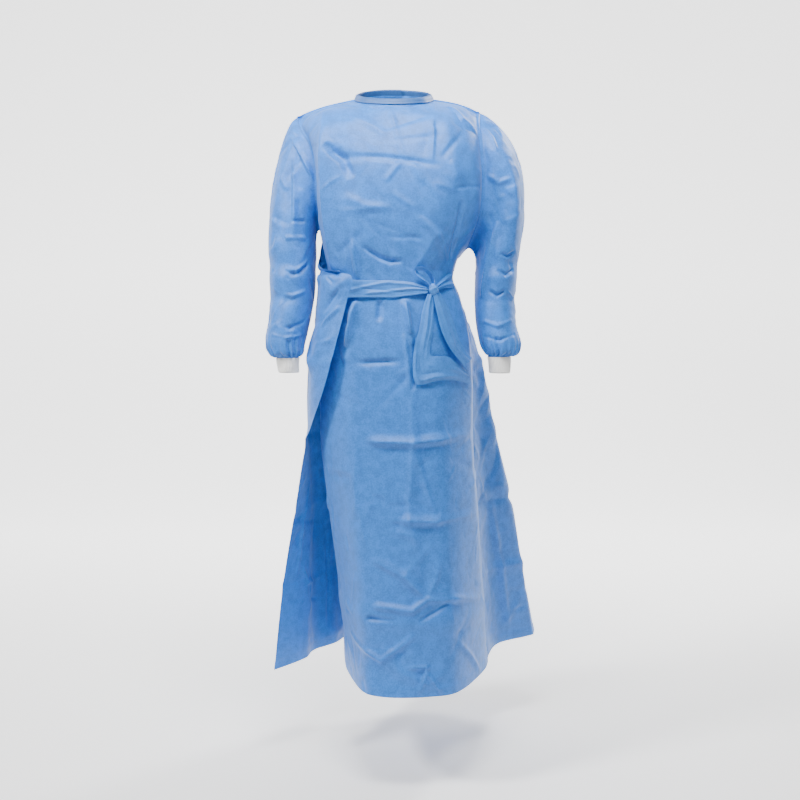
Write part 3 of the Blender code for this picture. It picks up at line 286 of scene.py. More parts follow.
# Where each strap meets the knot: the direction from its middle, and the strap's width and lift there
KnotEnd = namedtuple("KnotEnd", "angle width lift")
BELT_KNOT_END = KnotEnd(180.0, 0.012, 0.0095)
TIE_KNOT_END = KnotEnd(28.0, 0.011, 0.0095)
LONG_TAIL_KNOT_END = KnotEnd(-108.0, 0.012, 0.0095)
SHORT_TAIL_KNOT_END = KnotEnd(-58.0, 0.012, 0.013)
LOOP_KNOT_ENDS = (KnotEnd(126.0, 0.01, 0.011), KnotEnd(88.0, 0.01, 0.0125))
LOOP_POINTS = ((0.056, -0.388), (0.044, -0.3765), (0.044, -0.369), (0.056, -0.367), (0.068, -0.38))
LOOP_LIFT = 0.0115


# Cell sizes of the fine cloth
FRONT_CELL = 0.0033
OUTER_CELL = 0.0042
INNER_CELL = 0.006
SLEEVE_CELL = 0.0025
TRY_CELL_FACTOR = 1.0

# Crisp folds in the cloth. points are (x, z) seen from the front or the back, height is out of the cloth,
# left and
# right are the widths of the slopes beside the line, and sharp is 1 for a crisp edge and 0 for a round one
Crease = namedtuple("Crease", "points height left right sharp")
FRONT_CREASES = (
    Crease(((0.0844, -0.022), (0.0794, -0.0977), (0.0751, -0.1683)), 0.0018, 0.008, 0.02, 0.8),
    Crease(((0.1078, -0.0378), (0.1367, -0.0709), (0.1699, -0.0982)), 0.0022, 0.022, 0.01, 0.8),
    Crease(((0.1206, -0.2119), (0.1728, -0.2048)), -0.0015, 0.012, 0.008, 0.6),
    Crease(((-0.0094, -0.0453), (0.0026, -0.0866), (0.0223, -0.1684)), 0.0009, 0.014, 0.014, 0.9),
    Crease(((-0.1052, -0.1476), (-0.011, -0.1526), (0.0321, -0.1586), (0.0947, -0.1681)), -0.0013, 0.01,
            0.016, 0.8),
    Crease(((0.0164, -0.1586), (-0.0168, -0.2018)), 0.0012, 0.01, 0.014, 0.9),
    Crease(((0.036, -0.1605), (0.0613, -0.2095)), 0.0012, 0.01, 0.01, 0.9),
    Crease(((0.0399, -0.1605), (0.0928, -0.2381)), 0.001, 0.014, 0.01, 0.9),
    Crease(((-0.1349, -0.1236), (-0.0953, -0.1578), (-0.0815, -0.1933)), -0.0032, 0.016, 0.022, 0.3),
    Crease(((-0.0624, -0.3271), (-0.0289, -0.3485), (-0.0072, -0.3563), (0.0204, -0.3543)), -0.0022, 0.012,
            0.008, 0.5),
    Crease(((-0.082, -0.3095), (-0.0765, -0.3521), (-0.0709, -0.3933)), 0.003, 0.009, 0.014, 0.6),
    Crease(((-0.0578, -0.0397), (-0.0374, -0.0487), (-0.0154, -0.0473)), -0.0012, 0.006, 0.006, 0.4),
    Crease(((0.0025, -0.0476), (0.0365, -0.0437), (0.0736, -0.0278)), -0.0012, 0.006, 0.006, 0.4),
    Crease(((-0.0953, -0.2262), (-0.0618, -0.2463), (-0.0031, -0.2522)), 0.0012, 0.018, 0.022, 0.6),
    Crease(((0.0517, -0.2655), (0.0874, -0.3034), (0.105, -0.3541)), 0.0018, 0.016, 0.02, 0.6),
    Crease(((0.1351, -0.2339), (0.1223, -0.3013), (0.1114, -0.3537)), -0.002, 0.012, 0.012, 0.4),
    Crease(((-0.0749, -0.4308), (-0.0828, -0.4704), (-0.0932, -0.5261)), 0.005, 0.009, 0.02, 0.7),
    Crease(((0.0224, -0.4309), (0.0283, -0.4606), (0.0343, -0.4981)), 0.0042, 0.01, 0.016, 0.7),
    Crease(((-0.0272, -0.4309), (-0.0291, -0.4744)), -0.002, 0.014, 0.014, 0.3),
    Crease(((-0.1081, -0.5526), (-0.0431, -0.5536), (0.0165, -0.5515)), -0.0024, 0.012, 0.014, 0.9),
    Crease(((-0.15, -0.7216), (-0.0274, -0.7129), (0.0364, -0.7146), (0.0926, -0.71), (0.1596, -0.7037)),
            0.0034, 0.026, 0.018, 1.0),
    Crease(((-0.1254, -0.8889), (0.0324, -0.8698), (0.0826, -0.8735), (0.1618, -0.8734)), 0.0034, 0.026,
            0.018, 1.0),
    Crease(((0.0363, -0.607), (0.0376, -0.7146), (0.0284, -0.8699), (0.0504, -0.9402)), 0.0016, 0.024,
            0.014, 0.9),
    Crease(((0.0376, -0.7146), (0.0604, -0.7889), (0.0856, -0.8717)), 0.0014, 0.012, 0.022, 0.9),
    Crease(((-0.0755, -0.7158), (-0.0778, -0.7904), (-0.0739, -0.8732)), 0.001, 0.02, 0.02, 0.9),
    Crease(((0.0204, -0.4961), (0.0284, -0.5495), (0.0324, -0.607)), 0.0026, 0.007, 0.01, 0.7),
    Crease(((0.0402, -0.4981), (0.0443, -0.5496), (0.0383, -0.611)), -0.0022, 0.006, 0.008, 0.5),
    Crease(((-0.1002, -1.0529), (-0.0275, -1.0405), (0.0364, -1.0484), (0.0665, -1.0287), (0.1239, -1.0315),
            (0.1816, -1.0539)), 0.003, 0.014, 0.018, 0.7),
    Crease(((-0.1006, -1.0714), (-0.0476, -1.066), (0.0045, -1.067)), -0.0028, 0.008, 0.012, 0.5),
    Crease(((-0.0436, -0.9474), (0.0205, -0.9815), (0.0665, -1.0287)), 0.0022, 0.022, 0.016, 0.8),
    Crease(((0.0484, -1.0714), (0.0906, -1.0476), (0.1174, -1.0334)), -0.0022, 0.008, 0.012, 0.6),
    Crease(((0.0665, -1.0287), (0.0846, -0.9895), (0.0927, -0.9502)), 0.0014, 0.014, 0.014, 0.8),
    Crease(((-0.0918, -1.1168), (-0.0499, -1.1365), (-0.0255, -1.1489), (0.0105, -1.1226),
            (0.0444, -1.0949)), 0.0026, 0.014, 0.014, 0.8),
    Crease(((0.0205, -1.1626), (0.0665, -1.162), (0.0645, -1.1798), (0.0484, -1.2166)), 0.002, 0.009, 0.009,
            0.7),
    Crease(((0.0665, -1.1739), (0.0826, -1.1969), (0.0967, -1.218)), 0.002, 0.01, 0.008, 0.7),
    Crease(((0.1236, -1.1148), (0.1576, -1.1624), (0.1825, -1.2161)), 0.0016, 0.016, 0.014, 0.7),
)
OUTER_FRONT_CREASES = (
    Crease(((-0.138, -0.366), (-0.11, -0.376), (-0.083, -0.39)), -0.0016, 0.006, 0.007, 0.6),
    Crease(((-0.132, -0.398), (-0.106, -0.386), (-0.087, -0.39)), 0.0014, 0.006, 0.008, 0.8),
    Crease(((-0.134, -0.384), (-0.118, -0.398)), -0.0014, 0.005, 0.006, 0.6),
    Crease(((-0.12, -0.374), (-0.106, -0.386)), -0.0014, 0.005, 0.006, 0.6),
    Crease(((-0.082, -0.392), (-0.093, -0.413), (-0.106, -0.44)), 0.0016, 0.007, 0.01, 0.8),
    Crease(((-0.098, -0.4), (-0.126, -0.433), (-0.142, -0.458)), -0.0016, 0.008, 0.01, 0.6),
    Crease(((0.1777, -0.8298), (0.2518, -0.8471)), 0.0018, 0.016, 0.016, 0.9),
    Crease(((0.1936, -1.0052), (0.2915, -1.0371)), 0.0018, 0.016, 0.016, 0.9),
    Crease(((0.1883, -0.9434), (0.263, -0.9534)), 0.0014, 0.014, 0.014, 0.9),
    Crease(((0.2193, -1.1651), (0.3122, -1.1434)), -0.0014, 0.014, 0.014, 0.7),
    Crease(((0.2151, -0.874), (0.2427, -1.0207), (0.2691, -1.207)), 0.0022, 0.02, 0.02, 0.5),
    Crease(((-0.1462, -0.4824), (-0.1188, -0.4546), (-0.1086, -0.4427)), 0.0022, 0.007, 0.009, 0.7),
    Crease(((-0.1313, -0.4306), (-0.0944, -0.4231)), 0.0018, 0.006, 0.008, 0.7),
    Crease(((-0.1597, -0.5209), (-0.1228, -0.5101)), 0.0014, 0.008, 0.01, 0.8),
    Crease(((-0.1667, -0.5759), (-0.1376, -0.5901)), 0.0016, 0.01, 0.012, 0.8),
    Crease(((-0.1993, -1.0078), (-0.1906, -1.0468), (-0.1695, -1.0531)), -0.0024, 0.008, 0.01, 0.6),
    Crease(((-0.1824, -0.814), (-0.1975, -0.9255), (-0.2129, -1.032)), -0.0012, 0.008, 0.008, 0.7),
    Crease(((-0.1562, -0.9496), (-0.151, -1.0668), (-0.154, -1.178)), 0.0016, 0.014, 0.012, 0.7),
    Crease(((-0.21, -0.8949), (-0.1641, -0.9237)), 0.0013, 0.012, 0.012, 0.9),
    Crease(((-0.2327, -1.0705), (-0.166, -1.1042)), 0.0015, 0.012, 0.012, 0.8),
)
OUTER_BACK_CREASES = (
    Crease(((0.055, -0.47), (0.058, -0.7), (0.066, -0.9), (0.08, -1.12)), 0.0014, 0.02, 0.02, 0.8),
    Crease(((-0.045, -0.46), (-0.05, -0.64), (-0.056, -0.86)), 0.0014, 0.018, 0.022, 0.8),
    Crease(((0.09, -0.33), (0.02, -0.318), (-0.07, -0.326)), -0.0026, 0.012, 0.014, 0.5),
    Crease(((0.075, -0.3), (0.05, -0.345), (0.04, -0.4)), 0.0026, 0.012, 0.014, 0.6),
    Crease(((-0.06, -0.3), (-0.04, -0.35), (-0.036, -0.41)), 0.0024, 0.014, 0.012, 0.6),
    Crease(((0.02, -0.43), (0.03, -0.52), (0.05, -0.6)), 0.0034, 0.012, 0.018, 0.6),
    Crease(((-0.07, -0.43), (-0.09, -0.52), (-0.1, -0.59)), 0.0032, 0.016, 0.012, 0.6),
    Crease(((0.1, -0.07), (0.09, -0.14), (0.1, -0.22)), 0.0018, 0.016, 0.01, 0.7),
    Crease(((0.02, -1.14), (0.09, -1.16), (0.16, -1.13)), -0.0024, 0.012, 0.014, 0.5),
)
RIGHT_SLEEVE_CREASES = (
    Crease(((-0.2021, -0.1357), (-0.2025, -0.2278), (-0.2024, -0.3006)), 0.0022, 0.014, 0.01, 0.8),
    Crease(((-0.2111, -0.096), (-0.18, -0.1532), (-0.16, -0.1924)), 0.0022, 0.014, 0.007, 0.8),
    Crease(((-0.2085, -0.2703), (-0.1789, -0.2694)), -0.0016, 0.008, 0.01, 0.7),
    Crease(((-0.2208, -0.3046), (-0.1794, -0.3035)), 0.0024, 0.012, 0.012, 0.7),
    Crease(((-0.2207, -0.3653), (-0.1985, -0.3733), (-0.1757, -0.3521)), 0.0024, 0.012, 0.008, 0.7),
    Crease(((-0.2124, -0.3795), (-0.1906, -0.3711), (-0.174, -0.3519)), -0.0026, 0.008, 0.012, 0.5),
    Crease(((-0.2499, -0.3682), (-0.2104, -0.3876)), -0.0022, 0.008, 0.008, 0.5),
    Crease(((-0.2477, -0.405), (-0.2065, -0.4219), (-0.1795, -0.4093)), 0.0024, 0.008, 0.01, 0.6),
    Crease(((-0.2485, -0.4744), (-0.2103, -0.4865), (-0.1803, -0.4703)), -0.0022, 0.008, 0.01, 0.5),
    Crease(((-0.2499, -0.4988), (-0.2142, -0.5067), (-0.1879, -0.4989)), 0.0022, 0.007, 0.009, 0.6),
    Crease(((-0.2335, -0.174), (-0.2151, -0.207)), 0.0012, 0.014, 0.014, 0.8),
)
LEFT_SLEEVE_CREASES = (
    Crease(((0.2091, -0.2704), (0.1938, -0.3444), (0.1786, -0.4254)), 0.0032, 0.014, 0.008, 0.7),
    Crease(((0.2152, -0.335), (0.2317, -0.3409), (0.2473, -0.3299)), -0.0022, 0.008, 0.008, 0.5),
    Crease(((0.2094, -0.3692), (0.228, -0.3792), (0.2463, -0.3661)), -0.0022, 0.008, 0.008, 0.5),
    Crease(((0.1917, -0.4095), (0.2094, -0.4198), (0.2282, -0.4095)), -0.0024, 0.008, 0.008, 0.5),
    Crease(((0.2304, -0.4115), (0.2447, -0.4294)), 0.002, 0.006, 0.006, 0.7),
    Crease(((0.1848, -0.0614), (0.2098, -0.0769), (0.2224, -0.1047)), 0.0018, 0.008, 0.008, 0.7),
    Crease(((0.1795, -0.0764), (0.1988, -0.103), (0.2076, -0.1335)), 0.0016, 0.008, 0.008, 0.7),
    Crease(((0.186, -0.1787), (0.2139, -0.1933), (0.2376, -0.1859)), 0.0016, 0.012, 0.014, 0.7),
    Crease(((0.1822, -0.4704), (0.2111, -0.4825), (0.2413, -0.4704)), 0.0022, 0.008, 0.009, 0.6),
    Crease(((0.1841, -0.5029), (0.2148, -0.5107), (0.247, -0.4988)), -0.0022, 0.007, 0.008, 0.5),
)
SLEEVE_BACK_CREASES = (
    Crease(((0.19, -0.13), (0.214, -0.2), (0.222, -0.28)), 0.002, 0.014, 0.01, 0.7),
    Crease(((0.186, -0.3), (0.214, -0.318), (0.242, -0.3)), -0.0026, 0.01, 0.008, 0.5),
    Crease(((0.188, -0.345), (0.212, -0.332), (0.238, -0.35)), 0.0026, 0.008, 0.01, 0.6),
    Crease(((0.19, -0.4), (0.214, -0.412), (0.238, -0.398)), -0.0024, 0.01, 0.008, 0.5),
    Crease(((0.194, -0.455), (0.214, -0.446), (0.236, -0.46)), 0.0024, 0.008, 0.01, 0.6),
    Crease(((0.198, -0.5), (0.216, -0.508), (0.238, -0.496)), -0.0022, 0.008, 0.008, 0.5),
)

# Faint creases scattered over each piece, as packed nonwoven cloth keeps them
Scatter = namedtuple("Scatter", "seed count shortest longest lowest highest")
FRONT_SCATTER = Scatter(11, 150, 0.03, 0.13, 0.0007, 0.0024)
OUTER_SCATTER = Scatter(23, 280, 0.04, 0.17, 0.001, 0.0042)
INNER_SCATTER = Scatter(31, 60, 0.03, 0.1, 0.0005, 0.0012)
RIGHT_SLEEVE_SCATTER = Scatter(41, 70, 0.025, 0.09, 0.0006, 0.0022)
LEFT_SLEEVE_SCATTER = Scatter(53, 70, 0.025, 0.09, 0.0006, 0.0022)
SCATTER_SLOPES = (3.5, 9.0)

# Folds left by packing, all round the back panels
PackFold = namedtuple("PackFold", "level place height width")
OUTER_PACKING = (
    PackFold(True, -0.553, 0.003, 0.02),
    PackFold(True, -0.713, 0.0042, 0.024),
    PackFold(True, -0.873, -0.0042, 0.022),
    PackFold(True, -1.036, 0.0042, 0.024),
    PackFold(True, -0.16, 0.0026, 0.018),
    PackFold(False, 0.2, 0.0034, 0.022),
    PackFold(False, 0.41, -0.004, 0.022),
    PackFold(False, 0.62, 0.0044, 0.024),
    PackFold(False, 0.82, -0.003, 0.02),
)
INNER_PACKING = (
    PackFold(True, -0.713, 0.002, 0.02),
    PackFold(True, -0.873, 0.002, 0.02),
    PackFold(True, -1.036, 0.002, 0.02),
    PackFold(False, 0.5, 0.002, 0.02),
)
PACK_WAVER = 0.003
PACK_WAVES = 11.0
PACK_PHASE = 40.0
PACK_MIDDLE, PACK_SWING = 0.65, 0.35
PACK_SWING_ACROSS, PACK_SWING_DOWN, PACK_SWING_PHASE = 5.0, 9.0, 20.0
CREST_RADIUS = 0.0006
SMALLEST = 1e-12
SMALL_RUN = 1e-9
SMALL_GAP = 1e-6
CRISP_POWER = 1.5
TAPER_SHARE = 0.25
TAPER_POWER = 0.7
SCATTER_WINDOW = 0.02
SCATTER_SHARPNESS = 0.9
RAY_START = 1.5
SEAM_FADE = 0.012

Edge = namedtuple("Edge", "points normals away")

# Flat cuts of what shows: width and length in metres, and the area in square metres where the cut isn't a
# rectangle
Piece = namedtuple("Piece", "name grid slot wrap flat held area", defaults=(None,))
Cut = namedtuple("Cut", "flat area")
FRONT_CUT = Cut((0.68, 1.28), 0.636)
OUTER_CUT = Cut((1.06, 1.47), 0.813)
INNER_CUT = Cut((0.41, 1.29), 0.39)
RIGHT_SLEEVE_CUT = Cut((0.56, 0.53), 0.14)
LEFT_SLEEVE_CUT = Cut((0.65, 0.57), 0.148)
CUFF_CUT = (0.148, 0.033)
BINDING_CUT = (0.5, 0.026)
LOOP_CUT = (0.0115, 0.1)
KNOT_CUT = (0.026, 0.03)

# Seams, hems and gathers
SEAM_GROOVE = 0.0024
SEAM_GROOVE_WIDTH = 0.0045
HEM_RISE = 0.0009
HEM_WIDTH = 0.021
HEM_EDGE = 0.0035
GATHER_COUNTS = (9, 14, 19, 23)
GATHER_START = 0.006
GATHER_REACH = 0.034
GATHER_HEIGHT = 0.006

# Straps. A fold runs from begin to end of the strap's length (0 to 1), from one share of its width to
# another
FINE_STRAP_STEPS = 14
FINE_STRAP_SHARES = np.linspace(-0.5, 0.5, 25)
STRAP_FADE = 0.1
STRAP_ROLL = 0.0012
STRAP_ROLL_POWER = 6
STRAP_FOLD_POWER = 1.3
STRAP_CLEARANCE = 0.0014
STRAP_REACH = 0.012
StrapFold = namedtuple("StrapFold", "begin end share last_share width height")
STRAP_CUTS = (
    ("belt_front", (0.037, 0.16)),
    ("tie_side", (0.034, 0.055)),
    ("belt_tail_long", (0.046, 0.25)),
    ("belt_tail_short", (0.034, 0.163)),
)
STRAP_FOLDS = {
    "belt_front": (
        StrapFold(-0.1, 0.62, 0.35, 0.95, 0.16, 0.0024),
        StrapFold(0.2, 1.1, 0.22, 0.62, 0.14, 0.0026),
        StrapFold(0.05, 0.75, 0.6, 0.3, 0.1, -0.0014),
        StrapFold(0.5, 1.1, 0.85, 0.75, 0.12, 0.0018),
        StrapFold(-0.1, 1.1, 0.04, 0.06, 0.07, 0.0012),
    ),
    "tie_side": (
        StrapFold(-0.1, 1.1, 0.2, 0.35, 0.16, 0.0022),
        StrapFold(-0.1, 1.1, 0.5, 0.55, 0.12, -0.0016),
        StrapFold(-0.1, 1.1, 0.8, 0.7, 0.16, 0.002),
    ),
    "belt_tail_long": (
        StrapFold(-0.1, 0.5, 0.45, 0.6, 0.26, 0.003),
        StrapFold(0.05, 0.55, 0.88, 0.8, 0.12, 0.0014),
        StrapFold(0.4, 0.95, 0.14, 0.2, 0.12, 0.0024),
        StrapFold(0.45, 0.8, 0.42, 0.34, 0.1, -0.0016),
        StrapFold(0.52, 0.72, 0.75, 0.6, 0.12, 0.0014),
        StrapFold(0.8, 1.1, 0.55, 0.5, 0.18, 0.0022),
    ),
    "belt_tail_short": (
        StrapFold(-0.1, 0.75, 0.35, 0.45, 0.22, 0.0026),
        StrapFold(0.1, 0.9, 0.75, 0.8, 0.14, -0.0014),
        StrapFold(0.6, 1.1, 0.3, 0.6, 0.2, 0.0024),
    ),
}
KNOT_TUCK = 0.8
FINE_LOOP_TILT = 1.0
FINE_LOOP_WIDTH = 0.0115
LOOP_CRUMPLE = 0.0005
LOOP_WAVES = 22.0
LOOP_LEAN, LOOP_CURL = 5.0, 6.0
FINE_KNOT_ROWS = 48
FINE_KNOT_COLUMNS = 64
KNOT_CORE = 0.86
KNOT_POLE = 0.02
KNOT_BAND_POWER = 0.8
KnotBand = namedtuple("KnotBand", "angle place width height")
KNOT_BANDS = (
    KnotBand(20.0, -0.55, 0.26, 0.14),
    KnotBand(20.0, 0.0, 0.28, 0.18),
    KnotBand(35.0, 0.55, 0.26, 0.14),
    KnotBand(110.0, 0.15, 0.22, 0.1),
)

# The neck binding's section, from its outer edge over the top and down inside, and its stitches
BINDING_CELL = 0.0009
BindingPoint = namedtuple("BindingPoint", "up out stitched")
BINDING_PROFILE = (
    BindingPoint(-0.16, 0.001, False),
    BindingPoint(0.03, 0.0011, False),
    BindingPoint(0.12, 0.0012, False),
    BindingPoint(0.2, 0.0008, True),
    BindingPoint(0.3, 0.0012, False),
    BindingPoint(0.55, 0.0014, False),
    BindingPoint(0.8, 0.0012, False),
    BindingPoint(0.95, 0.0008, False),
    BindingPoint(1.0, 0.0, False),
    BindingPoint(0.95, -0.0008, False),
    BindingPoint(0.6, -0.0012, False),
    BindingPoint(-0.16, -0.001, False),
)
STITCH_DEPTH = 0.0003
STITCH_LENGTH = 0.003

# Cuffs
CUFF_RIBS = 46
CUFF_RIB_STEPS = 8
CUFF_RIB_HEIGHT = 0.0013
CUFF_WAVE = 0.0006
CUFF_ROLL = 0.0015
CUFF_ROLL_START = 0.9
CUFF_RIB_SWAY = 0.6
CUFF_TURNS, CUFF_DRIFT = 3, 4
FINE_CUFF_ROWS = 30
KNIT_SCALE = 260.0

# Materials
CREASE_SCALE = 2.7
CREASE_NARROWING = 0.72
SHADE_BLUE = (0.02, 0.174, 0.59, 1.0)
SHADE_STRAP = (0.026, 0.186, 0.59, 1.0)
SHADE_BINDING = (0.022, 0.105, 0.32, 1.0)
SHADE_KNIT = (0.78, 0.78, 0.77, 1.0)
CLOTH_ROUGHNESS = 0.54
CLOTH_SHEEN = 0.25
SHEEN_ROUGHNESS = 0.4
SHEEN_TINT = (0.85, 0.93, 1.0, 1.0)
CLOTH_THINNESS = 0.12
BLOTCH_SCALE = 60.0
FIBRE_SCALE = 340.0
LARGE_CRUMPLE_SCALE = 13.0
SMALL_CRUMPLE_SCALE = 62.0
SMALL_CRUMPLE_SHARE = 0.16
FIBRE_SHARE = 0.035
TONE_RANGE = (0.4, 0.6)
Look = namedtuple("Look", "name color mottle crumple")
CLOTH_LOOKS = (
    Look("nonwoven_cloth", SHADE_BLUE, 0.16, 0.0042),
    Look("strap_cloth", SHADE_STRAP, 0.12, 0.0022),
    Look("binding_cloth", SHADE_BINDING, 0.12, 0.001),
)

# Camera, at the photograph's angle
CAMERA_PLACE = (0.0125, -2.11, -0.473)
CAMERA_PITCH = -4.5
SENSOR_WIDTH = 36.0
LENS = 45.0

# Studio
STUDIO_WHITE = (0.94, 0.94, 0.94, 1.0)
GLOW_WHITE = (1.0, 1.0, 1.0, 1.0)
SKY_WHITE = (0.95, 0.97, 1.0, 1.0)
FLOOR_HEIGHT = -1.43
STUDIO_FRONT = -6.0
STUDIO_HALF_WIDTH = 8.0
WALL_START = 2.4
WALL_CURVE = 1.2
WALL_TOP = 5.0
GLOW_FROM = -0.4
GLOW_TO = 2.4
FLOOR_GLOW = 0.1
WALL_GLOW = 1.9
WORLD_LIGHT = 0.1
Lamp = namedtuple("Lamp", "name place target size power color")
LAMPS = (
    Lamp("key", (-1.8, -1.0, 1.1), (0.0, 0.0, 0.05), (0.45, 0.45), 94.0, (1.0, 0.99, 0.97)),
    Lamp("top", (0.0, -0.8, 0.85), (0.0, 0.0, -0.05), (0.7, 0.35), 44.0, (1.0, 1.0, 1.0)),
    Lamp("fill", (1.5, -1.8, 0.8), (0.05, 0.0, -0.3), (1.0, 1.0), 12.0, (0.97, 0.98, 1.0)),
    Lamp("back", (1.7, 1.3, 1.2), (0.0, 0.0, -0.4), (0.5, 0.5), 60.0, (1.0, 1.0, 1.0)),
)


# Curves and surfaces

def unit(vectors):
    return vectors / np.linalg.norm(vectors, axis=-1, keepdims=True)


def places_of(steps):
    """Reading places along a row of guides: 2.25 lies a quarter of the way from guide 2 to guide 3."""
    places = [span + part / count for span, count in enumerate(steps) for part in range(count)]
    return np.array(places + [len(steps)], dtype=float)


def flow(points, soft, places):
    """Reads the smooth curve through points at places. soft is 1 where it flows and 0 where it folds."""
    gaps = np.sqrt(np.linalg.norm(np.diff(points, axis=0), axis=-1, keepdims=True)) + SMALL_GAP
    runs = np.diff(points, axis=0) / gaps
    slopes = np.empty_like(points)
    slopes[1:-1] = (runs[:-1] * gaps[1:] + runs[1:] * gaps[:-1]) / (gaps[1:] + gaps[:-1])
    slopes[0] = 1.5 * runs[0] - 0.5 * slopes[1]
    slopes[-1] = 1.5 * runs[-1] - 0.5 * slopes[-2]
    slopes = slopes * soft[..., None]
    span = np.minimum(np.floor(places).astype(int), len(points) - 2)
    t = (places - span).reshape((-1,) + (1,) * (points.ndim - 1))
    start = (2 * t**3 - 3 * t**2 + 1) * points[span] + (t**3 - 2 * t**2 + t) * gaps[span] * slopes[span]
    end = (3 * t**2 - 2 * t**3) * points[span + 1] + (t**3 - t**2) * gaps[span] * slopes[span + 1]
    return start + end


def between(values, places):
    """Values given at whole places, read in between by straight lines."""
    span = np.minimum(np.floor(places).astype(int), len(values) - 2)
    t = (places - span)[:, None]
    return values[span] * (1 - t) + values[span + 1] * t


def surface(points, soft_down, soft_across, down_places, across_places):
    """points is rows by guides. Each guide flows down the rows first, then each row flows across them."""
    guides = flow(points, soft_down, down_places)
    soft = between(soft_across, down_places)
    return flow(guides.swapaxes(0, 1), soft.swapaxes(0, 1), across_places).swapaxes(0, 1)


def surface_normals(grid, outward):
    """Unit normals of a grid of points, on the side where outward(point) points."""
    normals = unit(np.cross(np.gradient(grid, axis=0), np.gradient(grid, axis=1)) + SMALLEST)
    middle = (grid.shape[0] // 2, grid.shape[1] // 2)
    if np.dot(normals[middle], outward) < 0:
        normals = -normals
    return normals


def neckline(angle, inward=0.0):
    a = math.radians(angle)
    depth = NECK_FRONT_DEPTH if math.cos(a) > 0 else NECK_BACK_DEPTH
    middle = (NECK_FRONT_HEIGHT + NECK_BACK_HEIGHT) / 2
    swing = (NECK_BACK_HEIGHT - NECK_FRONT_HEIGHT) / 2
    return ((NECK_HALF_WIDTH - inward) * math.sin(a), -(depth - inward) * math.cos(a),
            middle - swing * math.cos(a))


def front_guides(row):
    """The nine guides of one front row: both seams and folds, and rounded places between them."""
    middle = np.array(row.middle)

    def toward(fold, share):
        rise = 1 - (1 - share**FRONT_ROUNDNESS) ** (1 / FRONT_ROUNDNESS)
        return tuple(middle + (np.array(fold) - middle) * np.array((share, rise, share)))

    return [row.seam_right, row.fold_right, toward(row.fold_right, NECK_SHARE),
            toward(row.fold_right, QUARTER_SHARE),
            row.middle, toward(row.fold_left, QUARTER_SHARE), toward(row.fold_left, NECK_SHARE),
            row.fold_left, row.seam_left]


def front_points():
    top = FRONT_ROWS[0]
    neck = [neckline(angle) for angle in (-90.0, -48.0, 0.0, 48.0, 90.0)]
    rows = [[top.seam_right, top.fold_right] + neck + [top.fold_left, top.seam_left]]
    rows += [front_guides(row) for row in FRONT_ROWS[1:]]
    return np.array(rows)


def outer_points():
    neck = [neckline(angle) for angle in OUTER_NECK_ANGLES]
    rows = [list(OUTER_ROWS[0][:3]) + neck]
    return np.array(rows + [list(row) for row in OUTER_ROWS[1:]])


def inner_points():
    """The under panel's neck edge steps inwards at its free end, so that the outer flap lies over it."""
    steps = (0.0, 0.0, NECK_OVERLAP_STEP, NECK_OVERLAP_STEP)
    neck = [neckline(angle, inward) for angle, inward in zip(INNER_NECK_ANGLES, steps)]
    rows = [list(INNER_ROWS[0][:2]) + neck]
    return np.array(rows + [list(row) for row in INNER_ROWS[1:]])


def softness(points, seam_columns, neck_columns, fold_columns):
    """How softly a panel flows at each guide: corners at the underarm and beside the neck, crisp folds."""
    down = np.ones(points.shape[:2])
    across = np.ones(points.shape[:2])
    for column in seam_columns:
        down[UNDERARM_ROW, column] = 0.0
    for column in neck_columns:
        across[0, column] = 0.0
    for column, rows, value in fold_columns:
        across[rows, column] = value
    return down, across


def add_front_folds(grid, normals):
    """Adds the soft ridges and troughs of FRONT_FOLDS to the front panel."""
    flat = grid[..., (0, 2)]
    height = np.zeros(grid.shape[:2])
    for fold in FRONT_FOLDS:
        start = np.array((fold.x0, fold.z0))
        run = np.array((fold.x1, fold.z1)) - start
        along = np.clip(((flat - start) @ run) / (run @ run), 0.0, 1.0)
        away = np.linalg.norm(flat - start - along[..., None] * run, axis=-1)
        height += fold.height * np.exp(-((away / fold.width) ** 2))
    return grid + normals * height[..., None]


def add_back_waves(grid, normals, across_places):
    """Vertical waves of the draped back between two guides, growing from below the waist to the hem."""
    first, last = BACK_WAVE_GUIDES
    inside = np.clip((across_places - first) / (last - first), 0.0, 1.0)
    shape = np.sin(2 * math.pi * BACK_WAVES * inside) * np.sin(math.pi * inside) ** BACK_WAVE_FADE
    grow = np.clip((DRAPE_TOP - grid[..., 2]) / (DRAPE_TOP - HEM_HEIGHT), 0.0, 1.0) ** BACK_WAVE_GROWTH
    return grid + normals * (BACK_WAVE_HEIGHT * grow * shape[None, :])[..., None]


def away_from(points, normals, beside):
    """Unit directions in the cloth's plane, square to its edge, that lead off the cloth."""
    across = np.cross(normals, unit(np.gradient(points, axis=0)))
    return unit(across * np.sign(np.sum(across * (points - beside))))


def edge_of(points, normals, beside):
    return Edge(points.copy(), normals.copy(), away_from(points, normals, beside))


def back_up(edge, whole=False):
    """The edge read the other way, without its two end points unless it is whole."""
    part = slice(None, None, -1) if whole else slice(-2, 0, -1)
    return Edge(*(values[part] for values in edge))


def joined(*edges):
    return Edge(*(np.vstack(values) for values in zip(*edges)))


def section_ring(section, side, angles):
    """A level oval of a sleeve. Angle 0 is its outer side, 90 degrees its front and 180 its inner side."""
    return np.stack((section.x + side * section.half_width * np.cos(angles),
                     section.y - section.half_depth * np.sin(angles),
                     np.full(len(angles), section.z)), axis=-1)


def ring_normals(grid):
    """Outward unit normals of a tube of rings."""
    around = np.roll(grid, -1, axis=1) - np.roll(grid, 1, axis=1)
    normals = unit(np.cross(around, np.gradient(grid, axis=0)) + SMALLEST)
    middle = grid.shape[0] - 3
    if np.sum(normals[middle] * (grid[middle] - grid[middle].mean(axis=0))) < 0:
        normals = -normals
    return normals


